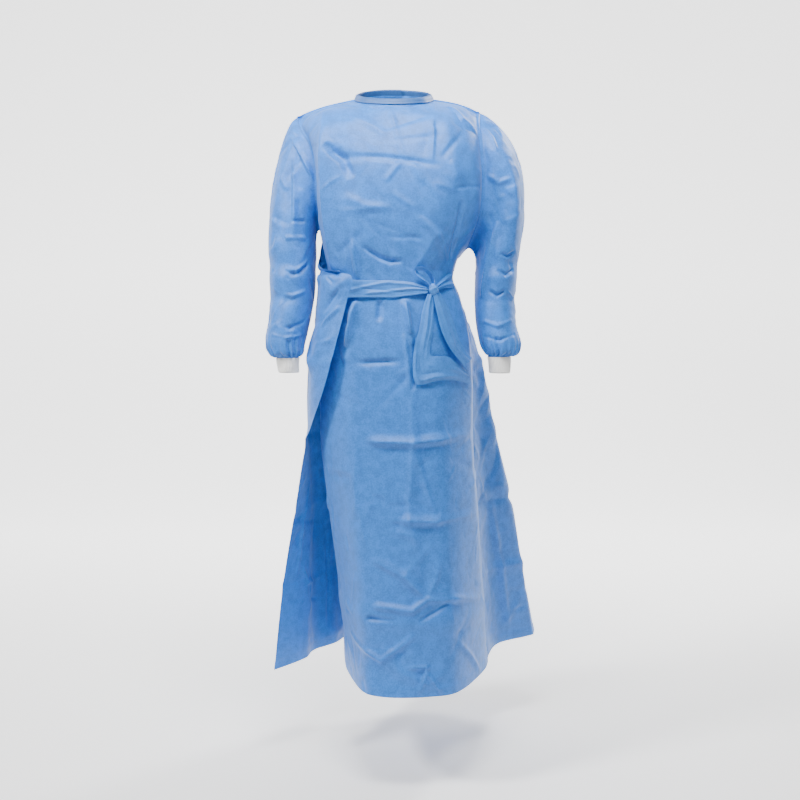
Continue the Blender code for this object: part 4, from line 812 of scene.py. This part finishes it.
def add_wrinkles(grid, normals, angles):
    height = np.zeros(grid.shape[:2])
    for wrinkle in SLEEVE_WRINKLES:
        turn = (angles - wrinkle.angle + 180.0) % 360.0 - 180.0
        height += (wrinkle.height * np.exp(-((turn / wrinkle.spread) ** 2))[None, :]
                   * np.exp(-(((grid[..., 2] - wrinkle.z) / wrinkle.width) ** 2)))
    return grid + normals * height[..., None]


# Fine cloth

Cloth = namedtuple("Cloth", "grid normals down across")


def steps_of(points, axis, cell):
    """Steps along one axis of the guides so that the cells are about one size."""
    gaps = np.linalg.norm(np.diff(points, axis=axis), axis=-1).max(axis=1 - axis)
    return tuple(int(n) for n in np.maximum(np.ceil(gaps / (cell * TRY_CELL_FACTOR)), 1))


def make_cloth(points, cell, corners, folds, outward):
    down, across = softness(points, *corners, folds)
    row_steps, column_steps = steps_of(points, 0, cell), steps_of(points, 1, cell)
    grid = surface(points, down, across, places_of(row_steps), places_of(column_steps))
    return Cloth(grid, surface_normals(grid, outward), row_steps, column_steps)


def make_front():
    upper, lower = slice(1, UNDERARM_ROW + 1), slice(UNDERARM_ROW + 1, LAST_ROW + 1)
    folds = [(column, rows, value) for column, values in ((1, RIGHT_FOLD_SOFTNESS), (7, LEFT_FOLD_SOFTNESS))
             for rows, value in zip((upper, lower), values)]
    cloth = make_cloth(front_points(), FRONT_CELL, ((0, 8), (2, 6)), folds, (0.0, -1.0, 0.0))
    return cloth._replace(grid=add_front_folds(cloth.grid, cloth.normals))


def make_outer():
    cloth = make_cloth(outer_points(), OUTER_CELL, ((0,), (3,)), (), (0.0, 1.0, 0.0))
    return cloth._replace(grid=add_back_waves(cloth.grid, cloth.normals, places_of(cloth.across)))


def make_inner():
    return make_cloth(inner_points(), INNER_CELL, ((0,), (2,)), (), (0.0, 1.0, 0.0))


def side_edge(cloth, column, beside):
    rows = slice(0, sum(cloth.down[:UNDERARM_ROW]) + 1)
    return edge_of(cloth.grid[rows, column], cloth.normals[rows, column], cloth.grid[rows, beside])


def top_edge(cloth, columns):
    return edge_of(cloth.grid[0, columns], cloth.normals[0, columns], cloth.grid[1, columns])


def seam_edges(front, outer, inner):
    """The two armholes and the neck edge, read from the panels."""
    shoulder, back_shoulder = sum(front.across[:2]), sum(inner.across[:2])
    far_shoulder, left_shoulder = sum(front.across[-2:]), sum(outer.across[:3])
    return {
        "right": joined(side_edge(front, 0, 1), back_up(side_edge(inner, 0, 1))),
        "left": joined(side_edge(front, -1, -2), back_up(side_edge(outer, 0, 1))),
        "neck": joined(back_up(top_edge(inner, slice(back_shoulder, None)), whole=True),
                       top_edge(front, slice(shoulder + 1, -far_shoulder - 1)),
                       top_edge(outer, slice(left_shoulder, None))),
    }


def sleeve_cloth(sleeve, ring):
    """A sleeve from its armhole ring down to the cuff, as in the part but finer."""
    count = len(ring.points)
    steps = np.linalg.norm(np.roll(ring.points, -1, axis=0) - ring.points, axis=-1)
    half = int(np.argmin(ring.points[:, 2]))
    angles = np.concatenate((
        np.cumsum(np.concatenate(([0.0], steps[:half - 1]))) / steps[:half].sum(),
        1.0 + np.cumsum(np.concatenate(([0.0], steps[half:-1]))) / steps[half:].sum(),
    )) * math.pi
    sections = np.array([section_ring(section, sleeve.side, angles) for section in sleeve.sections])
    cell = SLEEVE_CELL * TRY_CELL_FACTOR
    lower = flow(sections, np.ones(sections.shape[:2]), places_of(steps_of(sections, 0, SLEEVE_CELL)))
    target = lower[0]
    reach = np.linalg.norm(target - ring.points, axis=-1, keepdims=True)
    leave = unit(np.stack((CROWN_OUT * sleeve.side * np.ones(count), -CROWN_FORWARD * np.sin(angles),
                           -CROWN_DOWN * (1 + np.cos(angles))), axis=-1))
    clear = np.sum(leave * ring.away, axis=-1, keepdims=True)
    leave = unit(leave + ring.away * np.maximum(CROWN_CLEARANCE - clear, 0.0))
    leave = leave * np.maximum(reach * sleeve.fullness, UNDERARM_REACH)
    arrive = unit(lower[1] - lower[0]) * reach
    crown = []
    for t in np.linspace(0.0, 1.0, int(reach.max() * CROWN_SLACK / cell), endpoint=False):
        start = (2 * t**3 - 3 * t**2 + 1) * ring.points + (t**3 - 2 * t**2 + t) * leave
        crown.append(start + (3 * t**2 - 2 * t**3) * target + (t**3 - t**2) * arrive)
    grid = np.concatenate((np.array(crown), lower))
    normals = ring_normals(grid)
    return Cloth(add_wrinkles(grid, normals, np.degrees(angles)), normals, angles, None)


# Creases

def tree_of(grid, wrap=False, step=1):
    points = grid[::step, ::step]
    rows, columns = points.shape[:2]
    faces = grid_faces(rows, columns, wrap)
    return BVHTree.FromPolygons(points.reshape(-1, 3).tolist(), faces.tolist())


def grid_faces(rows, columns, wrap=False):
    index = np.arange(rows * columns).reshape(rows, columns)
    beside = np.roll(index, -1, axis=1) if wrap else index[:, 1:]
    index = index if wrap else index[:, :-1]
    return np.stack((index[:-1], index[1:], beside[1:], beside[:-1]), axis=-1).reshape(-1, 4)


def on_cloth(tree, points, toward):
    """Points (x, z) read on the cloth by rays. toward is +1 from the front and -1 from the back."""
    found = []
    for x, z in points:
        place, normal = tree.ray_cast((x, -RAY_START * toward, z), (0.0, toward, 0.0))[:2]
        if place is not None:
            normal = np.array(normal)
            found.append((np.array(place), normal if normal[1] * toward < 0 else -normal))
    return found


def crease_height(points, places, crease):
    """The height that one crease adds at each point. places are (point, normal) along its line."""
    height = np.zeros(len(points))
    line = np.array([place for place, _ in places])
    reach = max(crease.left, crease.right)
    inside = np.all((points > line.min(axis=0) - reach) & (points < line.max(axis=0) + reach), axis=1)
    near = points[inside]
    if not len(near):
        return height
    lengths = np.linalg.norm(np.diff(line, axis=0), axis=1)
    before = np.concatenate(([0.0], np.cumsum(lengths)))
    best = np.full(len(near), np.inf)
    along = np.zeros(len(near))
    side = np.zeros(len(near))
    for i in range(len(line) - 1):
        run = line[i + 1] - line[i]
        off = near - line[i]
        t = np.clip(off @ run / max(run @ run, SMALLEST), 0.0, 1.0)
        away = off - t[:, None] * run
        distance = np.linalg.norm(away, axis=1)
        closer = distance < best
        best = np.where(closer, distance, best)
        along = np.where(closer, (before[i] + t * lengths[i]) / before[-1], along)
        side = np.where(closer, np.cross(run, off) @ places[i][1], side)
    width = np.where(side > 0, crease.left, crease.right)
    rounded = np.sqrt(best**2 + CREST_RADIUS**2) - CREST_RADIUS
    t = np.clip(1 - rounded / width, 0.0, 1.0)
    profile = crease.sharp * t**CRISP_POWER + (1 - crease.sharp) * t * t * (3 - 2 * t)
    taper = np.clip(np.minimum(along, 1 - along) / TAPER_SHARE, 0.0, 1.0) ** TAPER_POWER
    height[inside] = crease.height * profile * taper
    return height


def scattered(points, normals, scatter):
    """Faint creases in random places and directions along the cloth."""
    random = np.random.default_rng(scatter.seed)
    creases = []
    total = len(points)
    for _ in range(scatter.count):
        start = int(random.integers(total))
        turn = random.uniform(0.0, 2 * math.pi)
        length = random.uniform(scatter.shortest, scatter.longest)
        height = random.uniform(scatter.lowest, scatter.highest) * random.choice((-1.0, 1.0))
        left, right = random.uniform(*SCATTER_SLOPES, 2) * abs(height) + CREST_RADIUS
        normal = normals[start]
        level = unit(np.cross(normal, (0.0, 0.0, 1.0)) + SMALL_RUN)
        upright = np.cross(normal, level)
        step = (level * math.cos(turn) + upright * math.sin(turn)) * length / 2
        places = []
        for share in (-1.0, 0.0, 1.0):
            wanted = points[start] + step * share
            window = np.flatnonzero(np.all(np.abs(points - wanted) < SCATTER_WINDOW, axis=1))
            if len(window):
                nearest = window[np.argmin(np.sum((points[window] - wanted) ** 2, axis=1))]
                places.append((points[nearest], normals[nearest]))
        if len(places) > 1:
            creases.append((places, Crease(None, height, left, right, SCATTER_SHARPNESS)))
    return creases


def distance_from(grid, edge):
    """How far each point is, along the cloth, from the named edge of its grid."""
    flip = edge in ("right", "bottom")
    axis = 0 if edge in ("top", "bottom") else 1
    steps = np.linalg.norm(np.diff(grid, axis=axis), axis=-1)
    pad = np.zeros_like(steps.take([0], axis=axis))
    if flip:
        steps = np.flip(np.concatenate((steps, pad), axis=axis), axis=axis)
        return np.flip(np.cumsum(steps, axis=axis), axis=axis)
    return np.cumsum(np.concatenate((pad, steps), axis=axis), axis=axis)


def smooth_step(t):
    t = np.clip(t, 0.0, 1.0)
    return t * t * (3 - 2 * t)


def packed_height(grid, packing):
    """The folds that packing leaves: level ones at set heights, upright ones at shares of the width."""
    across = distance_from(grid, "left")
    share = across / across[:, -1:]
    height = np.zeros(grid.shape[:2])
    for fold in packing:
        if fold.level:
            off = grid[...,
                       2] - fold.place - PACK_WAVER * np.sin(PACK_WAVES * across + PACK_PHASE * fold.place)
        else:
            off = (share - fold.place) * across[:, -1:] + PACK_WAVER * np.sin(PACK_WAVES * grid[..., 2])
        swing = PACK_SWING_ACROSS * across + PACK_SWING_DOWN * grid[..., 2] + PACK_SWING_PHASE * fold.place
        strength = PACK_MIDDLE + PACK_SWING * np.sin(swing)
        height += fold.height * strength * np.clip(1 - np.abs(off) / fold.width, 0.0, 1.0) ** CRISP_POWER
    return height


def add_creases(cloth, tables, scatter, wrap=False, seams=(), hems=(), packing=()):
    """Adds the creases of tables, (creases, toward) pairs, and the scattered ones. They fade out at the
    seams. Then come the groove of each seam and the double cloth of each hem."""
    points, normals = cloth.grid.reshape(-1, 3), cloth.normals.reshape(-1, 3)
    tree = tree_of(cloth.grid, wrap, 1 if wrap else 3)
    height = np.zeros(len(points))
    placed = []
    for creases, toward in tables:
        for crease in creases:
            drawn = crease._replace(height=crease.height * CREASE_SCALE,
                                    left=crease.left * CREASE_NARROWING,
                                    right=crease.right * CREASE_NARROWING)
            placed.append((on_cloth(tree, crease.points, toward), drawn))
    placed += scattered(points, normals, scatter)
    for places, crease in placed:
        if len(places) > 1:
            height += crease_height(points, places, crease)
    height = height.reshape(cloth.grid.shape[:2]) + packed_height(cloth.grid, packing)
    for seam in seams:
        height *= smooth_step(distance_from(cloth.grid, seam) / SEAM_FADE)
    for seam in seams:
        far = distance_from(cloth.grid, seam) / SEAM_GROOVE_WIDTH
        height -= SEAM_GROOVE * far * np.exp(1 - far)
    for hem in hems:
        height += HEM_RISE * smooth_step((HEM_WIDTH - distance_from(cloth.grid, hem)) / HEM_EDGE)
    return cloth._replace(grid=cloth.grid + cloth.normals * height[..., None])


def keep_off(grid, tree, gap, reach, side=1.0):
    """Moves points under the cloth of tree, or closer to it than gap, out to gap. side is -1 for within."""
    flat = grid.reshape(-1, 3).copy()
    for i, point in enumerate(flat):
        place, normal = tree.find_nearest(point.tolist(), reach)[:2]
        if place is None:
            continue
        place, normal = np.array(place), np.array(normal) * side
        depth = (point - place) @ normal
        if depth < gap:
            flat[i] = point + normal * (gap - depth)
    return flat.reshape(grid.shape)


# Objects

def cloth_object(piece):
    """A fine sheet of cloth as one object, with lengths in metres as its texture map."""
    grid = piece.grid
    rows, columns = grid.shape[:2]
    faces = grid_faces(rows, columns, piece.wrap)
    mesh = bpy.data.meshes.new(piece.name + "_cloth")
    mesh.from_pydata(grid.reshape(-1, 3).tolist(), [], faces.tolist())
    across = distance_from(grid, "left")
    down = distance_from(grid, "top")
    places = np.stack((across, down), axis=-1).reshape(-1, 2)
    layer = mesh.uv_layers.new(name="cloth")
    layer.data.foreach_set("uv", places[faces.reshape(-1)].astype(np.float32).ravel())
    mesh.shade_smooth()
    mesh.materials.append(materials[piece.slot])
    obj = bpy.data.objects.new(mesh.name, mesh)
    bpy.context.scene.collection.objects.link(obj)
    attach(obj, "root")
    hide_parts(piece.name)
    return obj


# Straps

def at_front(tree, x, z, lift):
    place, normal = tree.ray_cast((x, -1.0, z), (0.0, 1.0, 0.0))[:2]
    normal = np.array(normal)
    if normal[1] > 0:
        normal = -normal
    return np.array(place) + normal * lift


def knot_place(end):
    narrow = math.sqrt(1 - ((end.lift - KNOT_LIFT) / KNOT_SIZE[1]) ** 2)
    a = math.radians(end.angle)
    x = KNOT_PLACE[0] + math.cos(a) * KNOT_SIZE[0] * narrow * KNOT_TUCK
    z = KNOT_PLACE[1] + math.sin(a) * KNOT_SIZE[2] * narrow * KNOT_TUCK
    return Place(x, z, end.width, end.angle + 90.0, end.lift)


def strap_rows(places, tree):
    line = np.array([(place.x, place.z, place.width * math.cos(math.radians(place.angle)),
                      place.width * math.sin(math.radians(place.angle)), place.lift) for place in places])
    path = flow(line, np.ones(len(line)), places_of((FINE_STRAP_STEPS,) * (len(places) - 1)))
    rows = []
    for x, z, dx, dz, lift in path:
        rows.append([at_front(tree, x + dx * share, z + dz * share, lift) for share in FINE_STRAP_SHARES])
    return np.array(rows)


def belt_rows(places, tree, outer_grid):
    """The belt's rows, from the waist corner of the flap's free edge to the knot."""
    grid = strap_rows(places, tree)
    middle = (BELT_TOP + BELT_BOTTOM) / 2
    heights = middle + (BELT_TOP - BELT_BOTTOM) * FINE_STRAP_SHARES
    edge = outer_grid[::-1, -1]
    start = np.stack([np.interp(heights, edge[:, 2], edge[:, axis]) for axis in range(3)], axis=-1)
    steps = np.linspace(0.0, 1.0, FINE_STRAP_STEPS, endpoint=False)
    return np.concatenate((np.array([start + (grid[0] - start) * t for t in steps]), grid))


def fold_strap(grid, folds):
    """Long folds of a strap, and its two edges rolled back a little."""
    normals = surface_normals(grid, (0.0, -1.0, 0.0))
    share = FINE_STRAP_SHARES[None, :] + 0.5
    along = np.linspace(0.0, 1.0, len(grid))[:, None]
    height = np.zeros(grid.shape[:2])
    for fold in folds:
        t = (along - fold.begin) / (fold.end - fold.begin)
        middle = fold.share + (fold.last_share - fold.share) * np.clip(t, 0.0, 1.0)
        fade = smooth_step((along - fold.begin) / STRAP_FADE) * smooth_step((fold.end - along) / STRAP_FADE)
        tent = np.clip(1 - np.abs(share - middle) / fold.width, 0.0, 1.0) ** STRAP_FOLD_POWER
        height += fold.height * tent * fade
    height -= STRAP_ROLL * np.clip(np.abs(share - 0.5) * 2, 0.0, 1.0) ** STRAP_ROLL_POWER
    return grid + normals * height[..., None]


def fine_loop(tree):
    """The bow's one loop: a strap standing on its edge that leaves the knot, turns and comes back."""
    first, last = (knot_place(end) for end in LOOP_KNOT_ENDS)
    places = [(first.x, first.z, first.lift)] + [(x, z, LOOP_LIFT) for x, z in LOOP_POINTS]
    places.append((last.x, last.z, last.lift))
    line = np.array([at_front(tree, *place) for place in places])
    path = flow(line, np.ones(len(line)), places_of((FINE_STRAP_STEPS,) * (len(line) - 1)))
    run = unit(np.gradient(path, axis=0))
    outwards = unit(path - path.mean(axis=0)) * FINE_LOOP_TILT + np.array((0.0, -1.0, 0.0))
    across = unit(outwards - run * np.sum(outwards * run, axis=-1, keepdims=True))
    grid = path[:, None] + across[:, None] * (FINE_LOOP_WIDTH * FINE_STRAP_SHARES)[None, :, None]
    normals = surface_normals(grid, (-1.0, 0.0, 0.0))
    along = np.linspace(0.0, 1.0, len(path))[:, None]
    height = LOOP_CRUMPLE * (np.sin(LOOP_WAVES * along + LOOP_LEAN * FINE_STRAP_SHARES[None, :])
                             + np.cos(LOOP_CURL * FINE_STRAP_SHARES[None, :]))
    return grid + normals * height[..., None]


def fine_knot(tree):
    """The knot, wound round with the cloth of both straps."""
    centre = at_front(tree, *KNOT_PLACE, KNOT_LIFT)
    polar = np.linspace(KNOT_POLE, math.pi - KNOT_POLE, FINE_KNOT_ROWS)[:, None]
    turn = np.linspace(0.0, 2 * math.pi, FINE_KNOT_COLUMNS, endpoint=False)[None, :]
    ball = np.stack((np.sin(polar) * np.cos(turn), np.sin(polar) * np.sin(turn),
                     np.cos(polar) * np.ones_like(turn)), axis=-1)
    swell = np.zeros(ball.shape[:2])
    for band in KNOT_BANDS:
        a = math.radians(band.angle)
        off = ball[..., 0] * math.cos(a) + ball[..., 2] * math.sin(a) - band.place
        swell += band.height * np.clip(1 - np.abs(off) / band.width, 0.0, 1.0) ** KNOT_BAND_POWER
    return centre + ball * np.array(KNOT_SIZE) * (KNOT_CORE + swell)[..., None]


# Neck binding and cuffs

def along_evenly(points, step):
    lengths = np.concatenate(([0.0], np.cumsum(np.linalg.norm(np.diff(points, axis=0), axis=1))))
    places = np.linspace(0.0, lengths[-1], int(lengths[-1] / step))
    return np.stack([np.interp(places, lengths, points[:, axis]) for axis in range(3)], axis=-1), places


def fine_binding(neck):
    """A strip folded over the neck edge and sewn through, one short stitch after another."""
    points, places = along_evenly(neck.points, BINDING_CELL * TRY_CELL_FACTOR)
    inwards = unit(points * np.array((-1.0, -1.0, 0.0)))
    lean = inwards * BINDING_LEAN + np.array((0.0, 0.0, BINDING_HEIGHT))
    rows = []
    for point in BINDING_PROFILE:
        row = points + lean * point.up - inwards * point.out
        if point.stitched:
            row = row - inwards * (STITCH_DEPTH * np.cos(2 * math.pi * places / STITCH_LENGTH))[:, None]
        rows.append(row)
    return np.array(rows)


def fine_cuff(sleeve):
    """A knitted tube with lengthwise ribs and its lower edge turned in."""
    top, bottom = sleeve.cuff
    angles = np.arange(CUFF_RIBS * CUFF_RIB_STEPS) * 2 * math.pi / (CUFF_RIBS * CUFF_RIB_STEPS)
    rings = []
    for t in np.linspace(0.0, 1.0, FINE_CUFF_ROWS):
        section = Section(*(a + (b - a) * t for a, b in zip(top, bottom)))
        rings.append(section_ring(section, sleeve.side, angles))
    grid = np.array(rings)
    share = np.linspace(0.0, 1.0, FINE_CUFF_ROWS)[:, None]
    sway = CUFF_RIB_SWAY * np.sin(CUFF_TURNS * share)
    rib = CUFF_RIB_HEIGHT * np.abs(np.cos(CUFF_RIBS * angles / 2 + sway))
    wave = CUFF_WAVE * np.sin(CUFF_TURNS * angles + CUFF_DRIFT * share)
    roll = -CUFF_ROLL * np.clip((share - CUFF_ROLL_START) / 0.1, 0.0, 1.0) ** 2
    return grid + ring_normals(grid) * (rib + wave + roll)[..., None]


def add_gathers(cloth, seed):
    """The sleeve's gathers above its cuff, from the seam up."""
    random = np.random.default_rng(seed)
    angles = cloth.down
    pattern = np.zeros_like(angles)
    for count in GATHER_COUNTS:
        pattern += np.sin(count * angles + random.uniform(0.0, 2 * math.pi)) / len(GATHER_COUNTS)
    low = distance_from(cloth.grid, "bottom")
    rise = smooth_step(low / GATHER_START) * np.exp(-(low / GATHER_REACH) ** 2)
    return cloth._replace(grid=cloth.grid + cloth.normals * (GATHER_HEIGHT * rise * pattern[None, :])[...,
                                                                                                      None])


# Materials

def cloth_material(name, color, mottle, crumple):
    """Nonwoven cloth: mottled fibres, fine crumples, a soft sheen and a little light through it. mottle and
    crumple are the strengths of the mottling and the bumps."""
    material = bpy.data.materials.new(name)
    material.use_nodes = True
    nodes, links = material.node_tree.nodes, material.node_tree.links
    shader = nodes["Principled BSDF"]
    shader.inputs["Roughness"].default_value = CLOTH_ROUGHNESS
    shader.inputs["Sheen Weight"].default_value = CLOTH_SHEEN
    shader.inputs["Sheen Roughness"].default_value = SHEEN_ROUGHNESS
    shader.inputs["Sheen Tint"].default_value = SHEEN_TINT
    shader.inputs["Specular IOR Level"].default_value = 0.5
    place = nodes.new("ShaderNodeTexCoord")

    def noise(scale, detail, rough):
        node = nodes.new("ShaderNodeTexNoise")
        node.inputs["Scale"].default_value = scale
        node.inputs["Detail"].default_value = detail
        node.inputs["Roughness"].default_value = rough
        links.new(place.outputs["Object"], node.inputs["Vector"])
        return node.outputs["Fac"]

    def math_node(operation, first, second, third=None):
        node = nodes.new("ShaderNodeMath")
        node.operation = operation
        for socket, value in zip(node.inputs, (first, second, third)):
            if isinstance(value, float):
                socket.default_value = value
            elif value is not None:
                links.new(value, socket)
        return node.outputs["Value"]

    def ridged(scale, detail, rough):
        return math_node("ABSOLUTE", math_node("SUBTRACT", noise(scale, detail, rough), 0.5), None)

    tone = math_node("MULTIPLY_ADD", noise(BLOTCH_SCALE, 3.0, 0.6), 0.5,
                     math_node("MULTIPLY", noise(FIBRE_SCALE, 2.0, 0.6), 0.5))
    ramp = nodes.new("ShaderNodeValToRGB")
    for element, position, change in zip(ramp.color_ramp.elements, TONE_RANGE, (-mottle, mottle)):
        element.position = position
        element.color = tuple(min(c * (1 + change), 1.0) for c in color[:3]) + (1.0,)
    links.new(tone, ramp.inputs["Fac"])
    links.new(ramp.outputs["Color"], shader.inputs["Base Color"])

    height = math_node("MULTIPLY_ADD", ridged(LARGE_CRUMPLE_SCALE, 2.0, 0.5), 1.0,
                       math_node("MULTIPLY", noise(SMALL_CRUMPLE_SCALE, 4.0, 0.6), SMALL_CRUMPLE_SHARE))
    height = math_node("MULTIPLY_ADD", noise(FIBRE_SCALE, 2.0, 0.5), FIBRE_SHARE, height)
    bump = nodes.new("ShaderNodeBump")
    bump.inputs["Strength"].default_value = 1.0
    bump.inputs["Distance"].default_value = crumple
    links.new(height, bump.inputs["Height"])
    links.new(bump.outputs["Normal"], shader.inputs["Normal"])
    through = nodes.new("ShaderNodeBsdfTranslucent")
    links.new(ramp.outputs["Color"], through.inputs["Color"])
    links.new(bump.outputs["Normal"], through.inputs["Normal"])
    thin = nodes.new("ShaderNodeMixShader")
    thin.inputs["Fac"].default_value = CLOTH_THINNESS
    links.new(shader.outputs["BSDF"], thin.inputs[1])
    links.new(through.outputs["BSDF"], thin.inputs[2])
    links.new(thin.outputs["Shader"], nodes["Material Output"].inputs["Surface"])
    return material


def knit_material():
    """White rib knit with small loops of yarn."""
    material = bpy.data.materials.new("white_knit")
    material.use_nodes = True
    nodes, links = material.node_tree.nodes, material.node_tree.links
    shader = nodes["Principled BSDF"]
    shader.inputs["Base Color"].default_value = SHADE_KNIT
    shader.inputs["Roughness"].default_value = 0.95
    shader.inputs["Sheen Weight"].default_value = 0.2
    place = nodes.new("ShaderNodeTexCoord")
    loops = nodes.new("ShaderNodeTexWave")
    loops.bands_direction = "Y"
    loops.inputs["Scale"].default_value = KNIT_SCALE
    loops.inputs["Distortion"].default_value = 3.0
    links.new(place.outputs["UV"], loops.inputs["Vector"])
    bump = nodes.new("ShaderNodeBump")
    bump.inputs["Strength"].default_value = 0.6
    bump.inputs["Distance"].default_value = 0.0005
    links.new(loops.outputs["Fac"], bump.inputs["Height"])
    links.new(bump.outputs["Normal"], shader.inputs["Normal"])
    return material


# The scene

def make_camera():
    camera = bpy.data.objects.new("camera", bpy.data.cameras.new("camera"))
    bpy.context.scene.collection.objects.link(camera)
    camera.location = CAMERA_PLACE
    camera.rotation_euler = (math.radians(90.0 + CAMERA_PITCH), 0.0, 0.0)
    camera.data.sensor_width = SENSOR_WIDTH
    camera.data.lens = LENS
    bpy.context.scene.camera = camera


def area_light(lamp):
    light = bpy.data.lights.new(lamp.name, "AREA")
    light.shape = "RECTANGLE"
    light.size, light.size_y = lamp.size
    light.energy = lamp.power
    light.color = lamp.color
    obj = bpy.data.objects.new(lamp.name, light)
    bpy.context.scene.collection.objects.link(obj)
    obj.location = lamp.place
    obj.rotation_euler = (Vector(lamp.target) - Vector(lamp.place)).to_track_quat("-Z", "Y").to_euler()


def studio_material():
    """White, with a glow that grows from the floor before the gown to the wall behind it."""
    material = bpy.data.materials.new("studio_white")
    material.use_nodes = True
    nodes, links = material.node_tree.nodes, material.node_tree.links
    shader = nodes["Principled BSDF"]
    shader.inputs["Base Color"].default_value = STUDIO_WHITE
    shader.inputs["Roughness"].default_value = 0.9
    shader.inputs["Emission Color"].default_value = GLOW_WHITE
    place = nodes.new("ShaderNodeNewGeometry")
    parts = nodes.new("ShaderNodeSeparateXYZ")
    spread = nodes.new("ShaderNodeMapRange")
    spread.interpolation_type = "SMOOTHSTEP"
    spread.inputs["From Min"].default_value = GLOW_FROM
    spread.inputs["From Max"].default_value = GLOW_TO
    spread.inputs["To Min"].default_value = FLOOR_GLOW
    spread.inputs["To Max"].default_value = WALL_GLOW
    links.new(place.outputs["Position"], parts.inputs["Vector"])
    links.new(parts.outputs["Y"], spread.inputs["Value"])
    links.new(spread.outputs["Result"], shader.inputs["Emission Strength"])
    return material


def make_studio():
    """A plain pale floor that curves up into a pale wall behind, and soft light from above and the left."""
    rows = [(STUDIO_FRONT, FLOOR_HEIGHT), (WALL_START, FLOOR_HEIGHT)]
    rows += [(WALL_START + WALL_CURVE * math.sin(a), FLOOR_HEIGHT + WALL_CURVE * (1 - math.cos(a)))
             for a in np.linspace(0.2, math.pi / 2, 8)]
    rows.append((WALL_START + WALL_CURVE, WALL_TOP))
    points = [(x, y, z) for y, z in rows for x in (-STUDIO_HALF_WIDTH, STUDIO_HALF_WIDTH)]
    mesh = bpy.data.meshes.new("studio")
    mesh.from_pydata(points, [], grid_faces(len(rows), 2).tolist())
    mesh.shade_smooth()
    mesh.materials.append(studio_material())
    obj = bpy.data.objects.new("studio", mesh)
    bpy.context.scene.collection.objects.link(obj)
    world = bpy.data.worlds.new("studio")
    world.use_nodes = True
    world.node_tree.nodes["Background"].inputs["Color"].default_value = SKY_WHITE
    world.node_tree.nodes["Background"].inputs["Strength"].default_value = WORLD_LIGHT
    bpy.context.scene.world = world
    for lamp in LAMPS:
        area_light(lamp)


make_camera()
make_studio()
materials = {look.name: cloth_material(*look) for look in CLOTH_LOOKS}
materials["white_knit"] = knit_material()

front = make_front()
outer = make_outer()
inner = make_inner()
edges = seam_edges(front, outer, inner)
smooth_front = tree_of(front.grid)
front = add_creases(front, ((FRONT_CREASES, 1.0),), FRONT_SCATTER, seams=("top", "left", "right"),
                    hems=("bottom",))
outer = add_creases(outer, ((OUTER_FRONT_CREASES, 1.0), (OUTER_BACK_CREASES, -1.0)), OUTER_SCATTER,
                    seams=("top", "left"), hems=("bottom",), packing=OUTER_PACKING)
inner = add_creases(inner, (), INNER_SCATTER, seams=("top", "left"), hems=("bottom",),
                    packing=INNER_PACKING)
creased_front = tree_of(front.grid)

pieces = [
    Piece("front_panel", front.grid, "nonwoven_cloth", False, FRONT_CUT.flat, "draped", FRONT_CUT.area),
    Piece("back_left", outer.grid, "nonwoven_cloth", False, OUTER_CUT.flat, "draped", OUTER_CUT.area),
    Piece("back_right", inner.grid, "nonwoven_cloth", False, INNER_CUT.flat, "draped", INNER_CUT.area),
]
for side, sleeve, creases, scatter, cut in (
        ("right", RIGHT_SLEEVE, RIGHT_SLEEVE_CREASES, RIGHT_SLEEVE_SCATTER, RIGHT_SLEEVE_CUT),
        ("left", LEFT_SLEEVE, LEFT_SLEEVE_CREASES, LEFT_SLEEVE_SCATTER, LEFT_SLEEVE_CUT)):
    behind = tuple(crease._replace(points=tuple((x * sleeve.side, z) for x, z in crease.points))
                   for crease in SLEEVE_BACK_CREASES)
    cloth = add_gathers(sleeve_cloth(sleeve, edges[side]), scatter.seed)
    cloth = add_creases(cloth, ((creases, 1.0), (behind, -1.0)), scatter, wrap=True,
                        seams=("top", "bottom"))
    pieces.append(Piece("sleeve_" + side, cloth.grid, "nonwoven_cloth", True, cut.flat, "gathered",
                        cut.area))
    pieces.append(Piece("cuff_" + side, fine_cuff(sleeve), "white_knit", True, CUFF_CUT, "stretched"))
pieces.append(Piece("neck_binding", fine_binding(edges["neck"]), "binding_cloth", False, BINDING_CUT,
                    "folded"))

straps = {
    "belt_front": belt_rows(BELT_PLACES + (knot_place(BELT_KNOT_END)._replace(angle=90.0),), smooth_front,
                            outer.grid),
    "tie_side": strap_rows(TIE_PLACES + (knot_place(TIE_KNOT_END),), smooth_front),
    "belt_tail_long": strap_rows((knot_place(LONG_TAIL_KNOT_END),) + LONG_TAIL_PLACES, smooth_front),
    "belt_tail_short": strap_rows((knot_place(SHORT_TAIL_KNOT_END),) + SHORT_TAIL_PLACES, smooth_front),
}
for name, flat in STRAP_CUTS:
    grid = keep_off(fold_strap(straps[name], STRAP_FOLDS[name]), creased_front, STRAP_CLEARANCE,
                    STRAP_REACH)
    pieces.append(Piece(name, grid, "strap_cloth", False, flat, "draped"))
pieces.append(Piece("belt_loop", fine_loop(smooth_front), "strap_cloth", False, LOOP_CUT, "folded"))
pieces.append(Piece("belt_knot", fine_knot(smooth_front), "strap_cloth", True, KNOT_CUT, "folded"))

for piece in pieces:
    cloth_object(piece)
